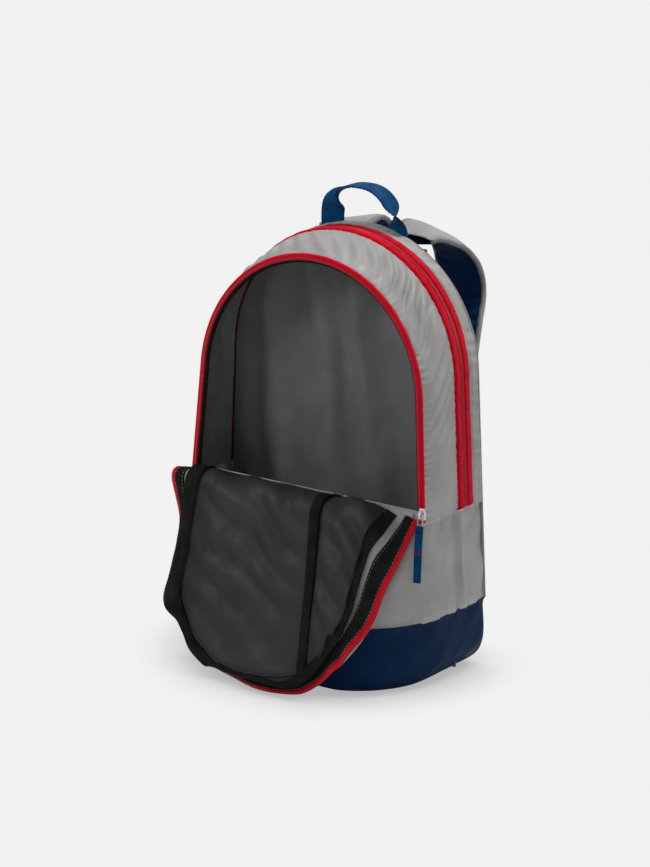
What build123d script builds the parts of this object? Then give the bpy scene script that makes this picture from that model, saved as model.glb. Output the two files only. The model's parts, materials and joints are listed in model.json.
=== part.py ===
"""Junior racket backpack that stands on its base with the front flap folded down.

Origin: centre of the underside, on the ground.  +Z is up, -Y is the flap side and +Y the wearer's side.
All lengths are in millimetres and all angles in degrees.
"""
from build123d import *
import math
import os

os.makedirs("parts", exist_ok=True)

# Whole bag
HEIGHT = 450
FOOT_HALF_WIDTH = 157
CROWN_RADIUS = 141
BACK_Y = 30
PANEL = 2
BASE_CORNER = 36
BASE_HEIGHT = 74
SEAM_Z = 177

# Lower body, which bulges forward below the flap
LOWER_HALF_WIDTH = 155
LOWER_REACH = 156
LOWER_EXPONENT = 2.65
BACK_BOTTOM_RADIUS = 18

# Main zip, over the crown in the plane of the racket compartment
MAIN_ZIP_HALF = 12
CHAIN_HALF = 4
CHAIN_PROUD = 1.2

# Front opening, a leaning plane; heights in it count up from the flap's fold
HINGE_Y = -76.5
HINGE_Z = 190
FRONT_LEAN = 3.15
OPENING_FOOT = -9
OPENING_HALF_WIDTH = 148
OPENING_RADIUS = 139.5
OPENING_HEIGHT = 243
ZIP_TAPE = 5.5
TAPE_THICKNESS = 2
BINDING_WIDTH = 3.5
BINDING_THICKNESS = 2.3

# Flap: a short root stands forward from the fold, and the panel hangs from the crest at its end.
# Both angles count from straight down towards the front.
ROOT_ANGLE = 105
PANEL_ANGLE = 20
ROOT_LENGTH = 38
CREST_GAP = 1.5
FLAP_GAP = 0.8
FLAP_START = 3
FLAP_THICKNESS = 2.5
FLAP_ZIP = 4
FLAP_TAPE = 11
ORGANISER_INSET = 26
ORGANISER_START = 41
ORGANISER_EDGE = 9
POCKET_STRIPS = (-86, 44)
STRIP_WIDTH = 12

# Straps
STRAP_HALF_WIDTH = 30
STRAP_THICKNESS = 10
COVER = 1.2
STRAP_BINDING = 3
STRAP_ROOT_X = 42
STRAP_ROOT_Z = 446
STRAP_TOP_X = 55
STRAP_LEAN = 0.157
STRAP_TOP_Z = 412
PAD_SPAN = (22, 342)
PAD_TAPER = (226, 184)
PAD_END_HALF_WIDTH = 17
WEBBING_SPAN = (343, 436)
WEBBING_HALF_WIDTH = 10
WEBBING_THICKNESS = 1.6
LADDER_LOCK = (32, 25, 4.4)
LADDER_LOCK_AT = 357
YOKE = (60, 2.4, 16)
YOKE_CENTRE = (47, 424)
ANCHOR = (30, 2.4, 20)
ANCHOR_CENTRE = (109, 66)

# Back pads
PAD_SIZE = (72, 290)
PAD_THICKNESS = 8
PAD_CORNER = 14
PAD_X = 48
PAD_Z = 235

# Haul handle
HANDLE_FOOT_Z = 446
HANDLE_RADIUS = 45
HANDLE_THICKNESS = 2.4
HANDLE_WIDTH = 25
HANDLE_FOOT_WIDTH = 4

# Sliders and pullers
SLIDER = (7, 12, 3)
RING_REACH = 14
RING_WIRE = 0.7
TAB_TOP = -11
TAB_LENGTH = 58
PULLER_WIDTH = 9
PULLER_THICKNESS = 2.4
FRONT_PULLER_TILT = 8


WIDE = (-300, 300)


def arch(inset=0, half_width=FOOT_HALF_WIDTH, foot=0, crown=HEIGHT, radius=CROWN_RADIUS, corner=0):
    """Closed outline: straight sides that lean inward and run tangent into one crown arc."""
    half_width = half_width - inset
    crown = crown - inset
    radius = radius - inset
    centre = crown - radius
    reach = math.hypot(half_width, centre - foot)
    lean = math.acos(radius / reach) - math.atan2(centre - foot, half_width)
    side_x = radius * math.cos(lean)
    side_z = centre + radius * math.sin(lean)
    outline = [
        Line((-half_width, foot), (half_width, foot)),
        Line((half_width, foot), (side_x, side_z)),
        ThreePointArc((side_x, side_z), (0, crown), (-side_x, side_z)),
        Line((-side_x, side_z), (-half_width, foot)),
    ]
    face = make_face(outline)
    if corner > 0:
        feet = face.vertices().sort_by(Axis.Y)[:2]
        face = fillet(feet, corner)
    return face


def bag_outline(inset=0):
    """Outline of the bag seen from the front, with its rounded bottom corners."""
    return arch(inset, foot=inset, corner=BASE_CORNER - inset)


def upright(y):
    """Plane across the bag at depth y, with its local y axis pointing up."""
    return Plane(origin=(0, y, 0), x_dir=(1, 0, 0), z_dir=(0, -1, 0))


def slab(face, front_y, back_y):
    """Extrude an upright outline between two depths."""
    return extrude(upright(back_y) * face, amount=back_y - front_y)


def block(x, y, z):
    """Box between the given (low, high) pairs."""
    size = [pair[1] - pair[0] for pair in (x, y, z)]
    middle = [(pair[1] + pair[0]) / 2 for pair in (x, y, z)]
    return Pos(*middle) * Box(*size)


def leaning(angle):
    """Plane through the flap's fold line, turned forward from straight up by the given angle."""
    turn = math.radians(angle)
    normal = (0, -math.cos(turn), -math.sin(turn))
    return Plane(origin=(0, HINGE_Y, HINGE_Z), x_dir=(1, 0, 0), z_dir=normal)


FRONT = leaning(-FRONT_LEAN)


def opening(inset=0, foot=OPENING_FOOT):
    """Outline of the front opening, measured up from the flap's fold line."""
    return arch(inset, OPENING_HALF_WIDTH, foot, OPENING_HEIGHT, OPENING_RADIUS)


def opening_ring(outer, inner, low, high):
    """Band that follows the front opening between two insets, from low to high off its plane."""
    band = opening(outer) - opening(inner)
    return extrude(FRONT.offset(low) * band, amount=high - low)


def beside(curve, distance, start=0, end=1, steps=12):
    """Spline that runs beside a curve, to its left by distance, between two fractions of its length."""
    points = []
    for step in range(steps + 1):
        along = start + (end - start) * step / steps
        point = curve @ along
        tangent = curve % along
        points.append((point.X - tangent.Y * distance, point.Y + tangent.X * distance))
    return Spline(*points)


def side_profile(inset=0):
    """Lower body seen from the side: upright back, rounded foot and a front that bulges forward."""
    top = SEAM_Z + 30
    back = BACK_Y - inset
    bulge = Spline(
        (HINGE_Y + 1, SEAM_Z),
        (-108, 124),
        (-136, 66),
        (-143, 22),
        (-116, 0),
        tangents=[(-0.5, -0.86), (1, 0)],
    )
    front = beside(bulge, inset)
    upper = front @ 0
    lower = front @ 1
    outline = [
        front,
        Polyline(lower, (back, lower.Y), (back, top), (upper.X, top), upper),
    ]
    face = make_face(outline)
    heel = face.vertices().sort_by_distance((back, lower.Y))[0]
    return fillet(heel, BACK_BOTTOM_RADIUS - inset)


def plan(inset=0):
    """Lower body seen from above: square at the back, a superellipse at the front."""
    half_width = LOWER_HALF_WIDTH - inset
    reach = LOWER_REACH - inset
    power = 2 / LOWER_EXPONENT
    turns = [math.radians(angle) for angle in range(10, 171, 10)]
    points = []
    for turn in turns:
        x = math.copysign(abs(math.cos(turn)) ** power, math.cos(turn))
        points.append((half_width * x, -reach * math.sin(turn) ** power))
    start = (half_width, 0)
    end = (-half_width, 0)
    back = BACK_Y - inset
    outline = [
        Spline(start, *points, end, tangents=[(0, -1), (0, 1)]),
        Polyline(end, (-half_width, back), (half_width, back), start),
    ]
    return make_face(outline)


def lower_volume(inset=0):
    """Solid inside the lower body, below the seam."""
    front = slab(bag_outline(inset), -200, BACK_Y - inset)
    side = extrude(Plane.YZ * side_profile(inset), amount=200, both=True)
    above = extrude(plan(inset), amount=SEAM_Z + 20)
    return front & side & above


def upper_volume(inset=0):
    """Solid inside the upper body in front of the main zip."""
    drop = 20
    back = upright(-MAIN_ZIP_HALF) * arch(inset, foot=0)
    front = FRONT.offset(-TAPE_THICKNESS) * opening(inset, foot=-2 * drop)
    return loft([back.face(), front.face()], ruled=True) & block(WIDE, WIDE, (SEAM_Z, 500))


def ring(front_y, back_y, proud=0):
    """Wall of the bag above the seam, between two depths."""
    wall = slab(arch(-proud) - arch(PANEL), front_y, back_y)
    return wall & block(WIDE, WIDE, (SEAM_Z, 500))


def save(name, shape):
    """Write one node."""
    shape.label = name
    export_step(shape, f"parts/{name}.step")


def make_body():
    """Panels, gussets, base and the back."""
    shell = lower_volume() - lower_volume(PANEL)
    inner_back = BACK_Y - PANEL
    panel_band = (BASE_HEIGHT, SEAM_Z)
    save("base_tub", shell & block(WIDE, WIDE, (0, BASE_HEIGHT)))
    save("lower_front_panel", shell & block(WIDE, (-200, -MAIN_ZIP_HALF), panel_band))
    save("side_panel_right", shell & block((0, 300), (-MAIN_ZIP_HALF, inner_back), panel_band))
    save("side_panel_left", shell & block((-300, 0), (-MAIN_ZIP_HALF, inner_back), panel_band))
    save("front_gusset", upper_volume() - upper_volume(PANEL))
    save("rear_gusset", ring(MAIN_ZIP_HALF, inner_back))
    back = slab(arch(), inner_back, BACK_Y) & block(WIDE, WIDE, (BASE_HEIGHT, 500))
    save("back_panel", back)
    board_top = PANEL + 3.2
    board = lower_volume(PANEL + 0.6) & block(WIDE, WIDE, (PANEL + 0.2, board_top))
    save("base_board", board)
    divider = slab(bag_outline(PANEL + 3), -MAIN_ZIP_HALF - 4, -MAIN_ZIP_HALF - 2)
    save("compartment_divider", divider & block(WIDE, WIDE, (board_top + 0.3, 500)))


def make_back_pads():
    """Two foam pads that rest on the wearer's back."""
    pad = extrude(RectangleRounded(*PAD_SIZE, PAD_CORNER), amount=PAD_THICKNESS)
    pad = fillet(pad.faces().sort_by(Axis.Z)[-1].edges(), 3)
    wearer = Plane(origin=(0, BACK_Y, PAD_Z), x_dir=(-1, 0, 0), z_dir=(0, 1, 0))
    for name, x in (("right", -PAD_X), ("left", PAD_X)):
        save(f"back_pad_{name}", wearer * Pos(x, 0, 0) * pad)


def make_main_zip():
    """Two tapes and the coil chain between them."""
    save("main_zip_front_tape", ring(-MAIN_ZIP_HALF, -CHAIN_HALF))
    save("main_zip_rear_tape", ring(CHAIN_HALF, MAIN_ZIP_HALF))
    save("main_zip_chain", ring(-CHAIN_HALF, CHAIN_HALF, CHAIN_PROUD))


def make_front_zip():
    """Body half of the front zip and the binding behind it."""
    save("front_zip_body_tape", opening_ring(0, ZIP_TAPE, -TAPE_THICKNESS, 0))
    low = -TAPE_THICKNESS - BINDING_THICKNESS
    high = -TAPE_THICKNESS - 0.1
    save("front_binding", opening_ring(ZIP_TAPE, ZIP_TAPE + BINDING_WIDTH, low, high))
    facing_half = OPENING_HALF_WIDTH - ZIP_TAPE - 1
    facing_height = -OPENING_FOOT + 2
    facing = Pos(0, OPENING_FOOT - 1 + facing_height / 2) * Rectangle(2 * facing_half, facing_height)
    save("fold_facing", extrude(FRONT.offset(-TAPE_THICKNESS) * facing, amount=TAPE_THICKNESS))


def flap_outline(inset=0, start=FLAP_START):
    """Outline of the flap, a little smaller than the opening that it closes."""
    closed = opening(ZIP_TAPE + FLAP_GAP + inset)
    reach = 2 * OPENING_HEIGHT
    return closed & Pos(0, start + reach / 2) * Rectangle(reach, reach)


def hanging(angle):
    """Direction of a flap section, and the normal of its outer face."""
    turn = math.radians(angle)
    along = Vector(0, -math.sin(turn), -math.cos(turn))
    outward = Vector(0, math.cos(turn), -math.sin(turn))
    return along, outward


def flap_planes():
    """Planes of the root and of the panel; in both, local y counts along the flap from the fold."""
    fold = Vector(0, HINGE_Y, HINGE_Z)
    root_along, root_outward = hanging(ROOT_ANGLE)
    panel_along, panel_outward = hanging(PANEL_ANGLE)
    crest = fold + root_along * ROOT_LENGTH
    panel_start = crest - panel_along * ROOT_LENGTH
    root = Plane(origin=fold, x_dir=(1, 0, 0), z_dir=root_outward)
    panel = Plane(origin=panel_start, x_dir=(1, 0, 0), z_dir=panel_outward)
    return root, panel


FLAP_ROOT, FLAP_PANEL = flap_planes()


def layer(plane, face, low, high):
    """Layer on a flap section: low and high count inward from the middle of its thickness."""
    return extrude(plane.offset(-high) * face, amount=high - low)


def strip_of(face, start, end):
    """Part of a flap outline between two distances from the fold."""
    width = 4 * OPENING_HALF_WIDTH
    return face & Pos(0, (start + end) / 2) * Rectangle(width, end - start)


def make_flap_shell():
    """Fabric, zip edge and bound tape of the flap's root and of its panel."""
    half = FLAP_THICKNESS / 2
    fabric = flap_outline(FLAP_ZIP)
    zip_band = flap_outline() - flap_outline(FLAP_ZIP)
    tape_band = flap_outline(FLAP_ZIP) - flap_outline(FLAP_ZIP + FLAP_TAPE)
    sections = {
        "flap_root": (FLAP_ROOT, FLAP_START, ROOT_LENGTH - CREST_GAP),
        "flap": (FLAP_PANEL, ROOT_LENGTH + CREST_GAP, 2 * OPENING_HEIGHT),
    }
    for name, (plane, start, end) in sections.items():
        save(f"{name}_panel", layer(plane, strip_of(fabric, start, end), -half, half))
        save(f"{name}_zip_edge", layer(plane, strip_of(zip_band, start, end), -half, half))
        save(f"{name}_tape", layer(plane, strip_of(tape_band, start, end), half, half + 1))


def make_organiser():
    """Organiser sewn to the inner face of the flap's panel."""
    half = FLAP_THICKNESS / 2
    backing_top = half + 1.2
    pocket_top = backing_top + 1.6
    field = flap_outline(ORGANISER_INSET, ORGANISER_START)
    pocket = flap_outline(ORGANISER_INSET + ORGANISER_EDGE, ORGANISER_START)
    save("organiser_backing", layer(FLAP_PANEL, field, half, backing_top))
    save("organiser_edge_binding", layer(FLAP_PANEL, field - pocket, backing_top, pocket_top))

    reach = OPENING_HEIGHT
    strips = Sketch()
    for x in POCKET_STRIPS:
        strips += Pos(x, reach / 2) * Rectangle(STRIP_WIDTH, reach)
    left_x, right_x = POCKET_STRIPS
    large_width = right_x - left_x - STRIP_WIDTH
    large = Pos((left_x + right_x) / 2, reach / 2) * Rectangle(large_width, reach)
    small_start = right_x + STRIP_WIDTH / 2
    small = Pos(small_start + reach / 2, reach / 2) * Rectangle(reach, reach)
    save("pocket_binding_strips", layer(FLAP_PANEL, pocket & strips, backing_top, pocket_top))
    save("large_pocket", layer(FLAP_PANEL, pocket & large, backing_top, pocket_top))
    save("small_pocket", layer(FLAP_PANEL, pocket & small, backing_top, pocket_top))


def slider_body():
    """Zip slider: a domed plate with a bridge for the puller, in its own frame (+Y along the track)."""
    width, length, thickness = SLIDER
    plate = extrude(RectangleRounded(width, length, 2), amount=thickness)
    plate = fillet(plate.faces().sort_by(Axis.Z)[-1].edges(), 0.6)
    bridge = Pos(0, 0, thickness + 1.6) * Box(2.6, 7.4, 3.2)
    window = Pos(0, 0, thickness + 1.2) * Box(6, 4.6, 2.2)
    return Pos(0, 0, 0.4) * (plate + bridge - window)


PIN_HEIGHT = 0.4 + SLIDER[2] + 1.2


def puller_ring():
    """Wire loop that hangs from the bridge."""
    half = 2.8
    bar = Rot(0, 90, 0) * Cylinder(RING_WIRE, 2 * half)
    arm = Pos(0, -RING_REACH / 2, 0) * Rot(90, 0, 0) * Cylinder(RING_WIRE, RING_REACH)
    loop = bar + Pos(0, -RING_REACH, 0) * bar + Pos(half, 0, 0) * arm + Pos(-half, 0, 0) * arm
    knuckles = [Pos(x, y, 0) * Sphere(RING_WIRE) for x in (-half, half) for y in (0, -RING_REACH)]
    return loop + knuckles


def puller_tab():
    """Webbing tab folded round the wire loop."""
    hole = 1.6
    tab = Pos(0, TAB_TOP - TAB_LENGTH / 2, 0) * Box(PULLER_WIDTH, TAB_LENGTH, PULLER_THICKNESS)
    slot = Pos(0, -RING_REACH, 0) * Box(PULLER_WIDTH + 1, hole, hole)
    mouth = Pos(0, TAB_TOP - 1.2, 0) * Box(7.4, 4.4, hole)
    return tab - slot - mouth


def place_slider(name, track, tilt=0):
    """Slider and puller on a track plane whose local y axis runs along the zip."""
    hang = track * Pos(0, 0, PIN_HEIGHT) * Rot(-tilt, 0, 0)
    save(f"{name}_slider", track * slider_body())
    save(f"{name}_puller_ring", hang * puller_ring())
    save(f"{name}_puller_tab", hang * puller_tab())


def make_sliders():
    """Front slider at the right end of the fold, main slider at the left end of the main zip."""
    front_lean = 4.1
    front_track = FRONT * Pos(OPENING_HALF_WIDTH - 1, OPENING_FOOT + 8, 0) * Rot(0, 0, front_lean)
    place_slider("front", front_track, FRONT_PULLER_TILT)

    side_lean = 2.95
    start_z = 192
    tangent = math.tan(math.radians(side_lean))
    track_x = -(FOOT_HALF_WIDTH + CHAIN_PROUD - start_z * tangent)
    lean = math.radians(side_lean)
    outward = (-math.cos(lean), 0, math.sin(lean))
    main_track = Plane(origin=(track_x, 0, start_z), x_dir=(0, -1, 0), z_dir=outward)
    place_slider("main", main_track)


def make_handle():
    """Haul loop, narrow where it is sewn in and flat across the hand."""
    middle_y = BACK_Y - 1
    reach = 2 * HANDLE_RADIUS
    hoop = Pos(0, HANDLE_FOOT_Z) * (Circle(HANDLE_RADIUS) - Circle(HANDLE_RADIUS - HANDLE_THICKNESS))
    hoop &= Pos(0, HANDLE_FOOT_Z + reach / 2) * Rectangle(2 * reach, reach)
    hoop_solid = slab(hoop, -20, 80)
    foot = HANDLE_FOOT_WIDTH / 2
    half = HANDLE_WIDTH / 2
    wide_z = HANDLE_FOOT_Z + 28
    top_z = HANDLE_FOOT_Z + reach
    side = Plane.YZ * Polygon(
        (middle_y - foot, HANDLE_FOOT_Z), (middle_y + foot, HANDLE_FOOT_Z), (middle_y + half, wide_z),
        (middle_y + half, top_z), (middle_y - half, top_z), (middle_y - half, wide_z),
        align=None,
    )
    save("haul_handle", hoop_solid & extrude(side, amount=reach, both=True))


def strap_path():
    """Centre line of a strap in the side view: over the shoulder and down to its lower anchor."""
    return Spline(
        (30, 427), (50, 436), (78, 438), (104, 426), (119, 401), (118, 375),
        (103, 342), (84, 300), (66, 245), (52, 185), (43, 130), (34, 75),
    )


def strap_layer(start, end, low, high):
    """Side-view face of one strap layer; low and high count outward from the centre line."""
    path = strap_path()
    steps = 22
    edges = [beside(path, side, start / path.length, end / path.length, steps) for side in (low, high)]
    ends = [Line(edges[0] @ place, edges[1] @ place) for place in (0, 1)]
    return make_face(edges + ends)


def strap_x(z):
    """Centre line of the right strap in the front view: it spreads from the yoke down to the anchor."""
    if z > STRAP_TOP_Z:
        return STRAP_TOP_X + (STRAP_ROOT_X - STRAP_TOP_X) * (z - STRAP_TOP_Z) / (STRAP_ROOT_Z - STRAP_TOP_Z)
    return STRAP_TOP_X + STRAP_LEAN * (STRAP_TOP_Z - z)


def strap_front(inset=0):
    """Front-view outline of the right strap's pad."""
    half = STRAP_HALF_WIDTH - inset
    taper_z, end_z = PAD_TAPER
    levels = [
        (STRAP_ROOT_Z, half),
        (STRAP_TOP_Z, half),
        (taper_z, half),
        (end_z + inset, PAD_END_HALF_WIDTH - inset),
    ]
    left = [(strap_x(z) - width, z) for z, width in levels]
    right = [(strap_x(z) + width, z) for z, width in reversed(levels)]
    return Polygon(*left, *right, align=None)


def webbing_front():
    """Front-view outline of the right strap's lower webbing."""
    half = WEBBING_HALF_WIDTH
    top_z, low_z = (210, 60)
    return Polygon(
        (strap_x(top_z) - half, top_z), (strap_x(low_z) - half, low_z),
        (strap_x(low_z) + half, low_z), (strap_x(top_z) + half, top_z),
        align=None,
    )


def across(side_face, front_face):
    """Solid whose side view and front view are the two given outlines."""
    return extrude(Plane.YZ * side_face, amount=200) & slab(front_face, -20, 200)


def ladder_lock():
    """Plastic ladder lock that lies on the webbing's outer side."""
    path = strap_path()
    at = path @ (LADDER_LOCK_AT / path.length)
    tangent = path % (LADDER_LOCK_AT / path.length)
    plane = Plane(
        origin=(strap_x(at.Y), at.X, at.Y),
        x_dir=(1, 0, 0),
        z_dir=(0, -tangent.Y, tangent.X),
    )
    lock = fillet(Box(*LADDER_LOCK).edges().filter_by(Axis.Z), 3)
    for y in (-6.4, 4.2):
        lock -= Pos(0, y, 0) * Box(23, 6, 6)
    clear = WEBBING_THICKNESS / 2 + LADDER_LOCK[2] / 2 + 0.4
    return plane * Pos(0, 0, clear) * lock


def patch(centre, size):
    """Small sewn patch on the back panel; centre is (x, z)."""
    return Pos(centre[0], BACK_Y + size[1] / 2, centre[1]) * Box(*size)


def make_straps():
    """Both shoulder straps, each from its yoke at the top to its anchor near the base."""
    half = STRAP_THICKNESS / 2
    webbing = WEBBING_THICKNESS / 2
    whole = strap_front()
    core = strap_front(STRAP_BINDING)
    right = {
        "strap_outer_cover": across(strap_layer(*PAD_SPAN, half - COVER, half), core),
        "strap_foam": across(strap_layer(*PAD_SPAN, -half + COVER, half - COVER), core),
        "strap_inner_cover": across(strap_layer(*PAD_SPAN, -half, -half + COVER), core),
        "strap_binding": across(strap_layer(*PAD_SPAN, -half, half), whole - core),
        "strap_webbing": across(strap_layer(*WEBBING_SPAN, -webbing, webbing), webbing_front()),
        "ladder_lock": ladder_lock(),
        "strap_yoke": patch(YOKE_CENTRE, YOKE),
        "lower_anchor": patch(ANCHOR_CENTRE, ANCHOR),
    }
    for name, shape in right.items():
        save(f"{name}_right", shape)
        save(f"{name}_left", mirror(shape, Plane.YZ))


make_body()
make_back_pads()
make_main_zip()
make_front_zip()
make_flap_shell()
make_organiser()
make_sliders()
make_handle()
make_straps()
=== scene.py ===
"""Looks of the racket backpack: fabrics, zips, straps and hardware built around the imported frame.

Metres, +Z up, -Y is the flap side and +Y the wearer's side.
"""

import json
import math

import bmesh
import bpy
import numpy as np
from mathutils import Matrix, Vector, noise


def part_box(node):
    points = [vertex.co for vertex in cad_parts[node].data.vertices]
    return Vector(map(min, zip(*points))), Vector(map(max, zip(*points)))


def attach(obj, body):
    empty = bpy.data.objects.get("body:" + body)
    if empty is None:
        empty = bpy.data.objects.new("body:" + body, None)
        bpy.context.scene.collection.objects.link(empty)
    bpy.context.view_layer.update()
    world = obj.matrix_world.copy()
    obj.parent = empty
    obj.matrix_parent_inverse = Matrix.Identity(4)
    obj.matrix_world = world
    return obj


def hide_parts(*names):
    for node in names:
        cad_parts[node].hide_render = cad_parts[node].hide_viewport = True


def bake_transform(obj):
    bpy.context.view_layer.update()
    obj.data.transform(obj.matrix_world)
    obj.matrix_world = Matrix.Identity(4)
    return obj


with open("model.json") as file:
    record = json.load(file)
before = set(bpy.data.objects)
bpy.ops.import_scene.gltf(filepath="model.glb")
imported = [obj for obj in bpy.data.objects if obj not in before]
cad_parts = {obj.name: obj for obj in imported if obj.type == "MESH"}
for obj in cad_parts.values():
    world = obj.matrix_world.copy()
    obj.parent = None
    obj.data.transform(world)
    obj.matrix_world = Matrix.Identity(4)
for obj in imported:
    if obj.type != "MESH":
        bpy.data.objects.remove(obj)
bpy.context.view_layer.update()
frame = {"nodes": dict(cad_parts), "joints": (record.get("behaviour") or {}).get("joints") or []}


# ---------------------------------------------------------------- sizes from the frame

def joint_place(name):
    """Position of a joint by name."""
    return np.array(next(entry["pos_m"] for entry in frame["joints"] if entry["name"] == name))


FOLD = joint_place("flap_fold")
CREST = joint_place("crest_fold")
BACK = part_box("back_panel")[1].y
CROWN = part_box("back_panel")[1].z
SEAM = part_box("front_gusset")[0].z
NAVY_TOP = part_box("base_tub")[1].z
ZIP_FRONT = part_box("main_zip_front_tape")[0].y
ZIP_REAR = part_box("main_zip_rear_tape")[1].y
CROWN_RADIUS = 0.141
FRONT_LEAN = math.radians(3.15)
OPENING_RADIUS = 0.1395
OPENING_FOOT = -0.009
ZIP_WIDTH = 0.0055
FLAP_EDGE = 0.0063
FABRIC = 0.0011
THICK_FABRIC = 0.0012
THIN_FABRIC = 0.0009
TAPE = 0.0008
SEAM_PITCH = 0.004
BINDING_PITCH = 0.0036
TO_BACK = np.array([0, 1.0, 0])


class Arch:
    """Outline of two straight sides that lean inward into one crown arc, from right foot to left foot."""

    def __init__(self, half_width, foot, crown, radius):
        self.half_width, self.foot, self.crown, self.radius = half_width, foot, crown, radius
        self.centre = crown - radius
        reach = math.hypot(half_width, self.centre - foot)
        self.lean = math.acos(radius / reach) - math.atan2(self.centre - foot, half_width)
        self.spring_x = radius * math.cos(self.lean)
        self.spring_y = self.centre + radius * math.sin(self.lean)
        self.side = math.hypot(half_width - self.spring_x, self.spring_y - foot)
        self.length = 2 * self.side + radius * (math.pi - 2 * self.lean)

    def inset(self, distance):
        """The same outline moved inward."""
        return Arch(self.half_width - distance, self.foot, self.crown - distance, self.radius - distance)

    def lowered(self, distance):
        """The same outline with its straight sides run further down."""
        foot_half = self.half_width + distance * math.tan(self.lean)
        return Arch(foot_half, self.foot - distance, self.crown, self.radius)

    def at(self, share):
        """Point and outward normal at a share of the outline's length."""
        along = share * self.length
        mirror = 1
        if along > self.length / 2:
            along = self.length - along
            mirror = -1
        if along < self.side:
            part = along / self.side
            x = mix(self.half_width, self.spring_x, part)
            y = mix(self.foot, self.spring_y, part)
            angle = self.lean
        else:
            angle = self.lean + (along - self.side) / self.radius
            x = self.radius * math.cos(angle)
            y = self.centre + self.radius * math.sin(angle)
        return mirror * x, y, mirror * math.cos(angle), math.sin(angle)

    def width_at(self, y):
        """Half width at a height."""
        if y <= self.spring_y:
            return mix(self.half_width, self.spring_x, (y - self.foot) / (self.spring_y - self.foot))
        return math.sqrt(max(self.radius ** 2 - (y - self.centre) ** 2, 0))

    def height_at(self, x):
        """Height of the outline above a place across it."""
        x = abs(x)
        if x <= self.spring_x:
            return self.centre + math.sqrt(max(self.radius ** 2 - x ** 2, 0))
        part = (self.half_width - x) / (self.half_width - self.spring_x)
        return mix(self.foot, self.spring_y, max(part, 0))


def mix(a, b, part):
    """Straight blend of two values."""
    return a + (b - a) * part


def smooth_step(value, low, high):
    """0 below low, 1 above high and smooth between."""
    part = min(max((value - low) / (high - low), 0.0), 1.0)
    return part * part * (3 - 2 * part)


MAIN = Arch(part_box("main_zip_front_tape")[1].x, SEAM, CROWN, CROWN_RADIUS)
OPENING_CROWN = (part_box("front_zip_body_tape")[1].z - FOLD[2]) / math.cos(FRONT_LEAN)
OPENING = Arch(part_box("front_zip_body_tape")[1].x, OPENING_FOOT, OPENING_CROWN, OPENING_RADIUS)
FLAP = OPENING.inset(FLAP_EDGE)


def front_plane(x, up, out=0.0):
    """Point on the leaning plane of the front opening, at a height above the fold."""
    y = FOLD[1] + up * math.sin(FRONT_LEAN) - out * math.cos(FRONT_LEAN)
    z = FOLD[2] + up * math.cos(FRONT_LEAN) + out * math.sin(FRONT_LEAN)
    return np.array([x, y, z])


# ---------------------------------------------------------------- lines and grids of points

def distances(points):
    """Distance along a polyline at each of its points."""
    return np.concatenate([[0], np.cumsum(np.linalg.norm(np.diff(points, axis=0), axis=1))])


def at_places(points, places):
    """Points of a polyline at distances along it."""
    along = distances(points)
    return np.stack([np.interp(places, along, values) for values in np.transpose(points)], 1)


def resample(points, spacing):
    """Evenly spaced points along a polyline, with unit tangents."""
    total = distances(points)[-1]
    even = at_places(points, np.linspace(0, total, max(int(total / spacing), 1) + 1))
    tangent = np.gradient(even, axis=0)
    return even, tangent / (np.linalg.norm(tangent, axis=1)[:, None] + 1e-12)


def places_along(points, normals, spacing):
    """Even places on a line: position, direction and the normal of the nearest given point."""
    points = np.asarray(points, float)
    for point, along in zip(*resample(points, spacing)):
        nearest = int(np.argmin(np.linalg.norm(points - point, axis=1)))
        yield point, along, np.asarray(normals[nearest], float)


def lengths(grid):
    """Distance along the rows and along the columns for each point of a grid."""
    across = np.zeros(grid.shape[:2])
    along = np.zeros(grid.shape[:2])
    across[:, 1:] = np.cumsum(np.linalg.norm(np.diff(grid, axis=1), axis=2), axis=1)
    along[1:, :] = np.cumsum(np.linalg.norm(np.diff(grid, axis=0), axis=2), axis=0)
    return across, along


def surface_normals(grid, flip=False):
    """Unit normals of a grid of points, on the side its faces look to."""
    normal = np.cross(np.gradient(grid, axis=1), np.gradient(grid, axis=0))
    normal = normal / np.maximum(np.linalg.norm(normal, axis=2, keepdims=True), 1e-12)
    return -normal if flip else normal


def puff(grid, amount, flip=False):
    """Grid moved along its normals by an amount for each point."""
    return grid + surface_normals(grid, flip) * amount[:, :, None]


def column(*values):
    """One value for each row of a grid."""
    return np.array(values)[:, None]


def noise_field(a, b, seed=0.0):
    """Smooth repeatable noise from -1 to 1 for two arrays of coordinates."""
    flat = [noise.noise(Vector((x, y, seed))) for x, y in zip(np.ravel(a), np.ravel(b))]
    return np.reshape(flat, np.shape(a))


def puckers(along, away, pitch, height, reach, seed=0.0):
    """Gathers at a seam: irregular ridges that fade over reach with the distance away from it."""
    sway = noise_field(along / (pitch * 2.7), away / (reach * 2), seed) * 1.9
    ridge = np.sin(2 * math.pi * along / pitch + 2.2 * sway)
    strength = 0.65 + 0.6 * noise_field(along / (pitch * 5), away * 0, seed + 7)
    return height * ridge * strength * np.exp(-np.abs(away) / reach)


def pinch(away, depth=0.0012, reach=0.0022):
    """Dip where fabric is pulled into a seam."""
    return -depth * np.exp(-((away / reach) ** 2))


# ---------------------------------------------------------------- meshes

def add_object(name, data):
    """Object in the scene."""
    piece = bpy.data.objects.new(name, data)
    bpy.context.scene.collection.objects.link(piece)
    return piece


def add_mesh(name, points, faces, material, uv=None):
    """Mesh object with smooth shading and optional per-point UVs in metres."""
    mesh = bpy.data.meshes.new(name)
    mesh.from_pydata([tuple(map(float, point)) for point in points], [], faces)
    mesh.validate()
    if uv is not None:
        layer = mesh.uv_layers.new(name="cloth")
        for loop in mesh.loops:
            layer.data[loop.index].uv = uv[loop.vertex_index]
    for polygon in mesh.polygons:
        polygon.use_smooth = True
    mesh.materials.append(material)
    return add_object(name, mesh)


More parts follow.
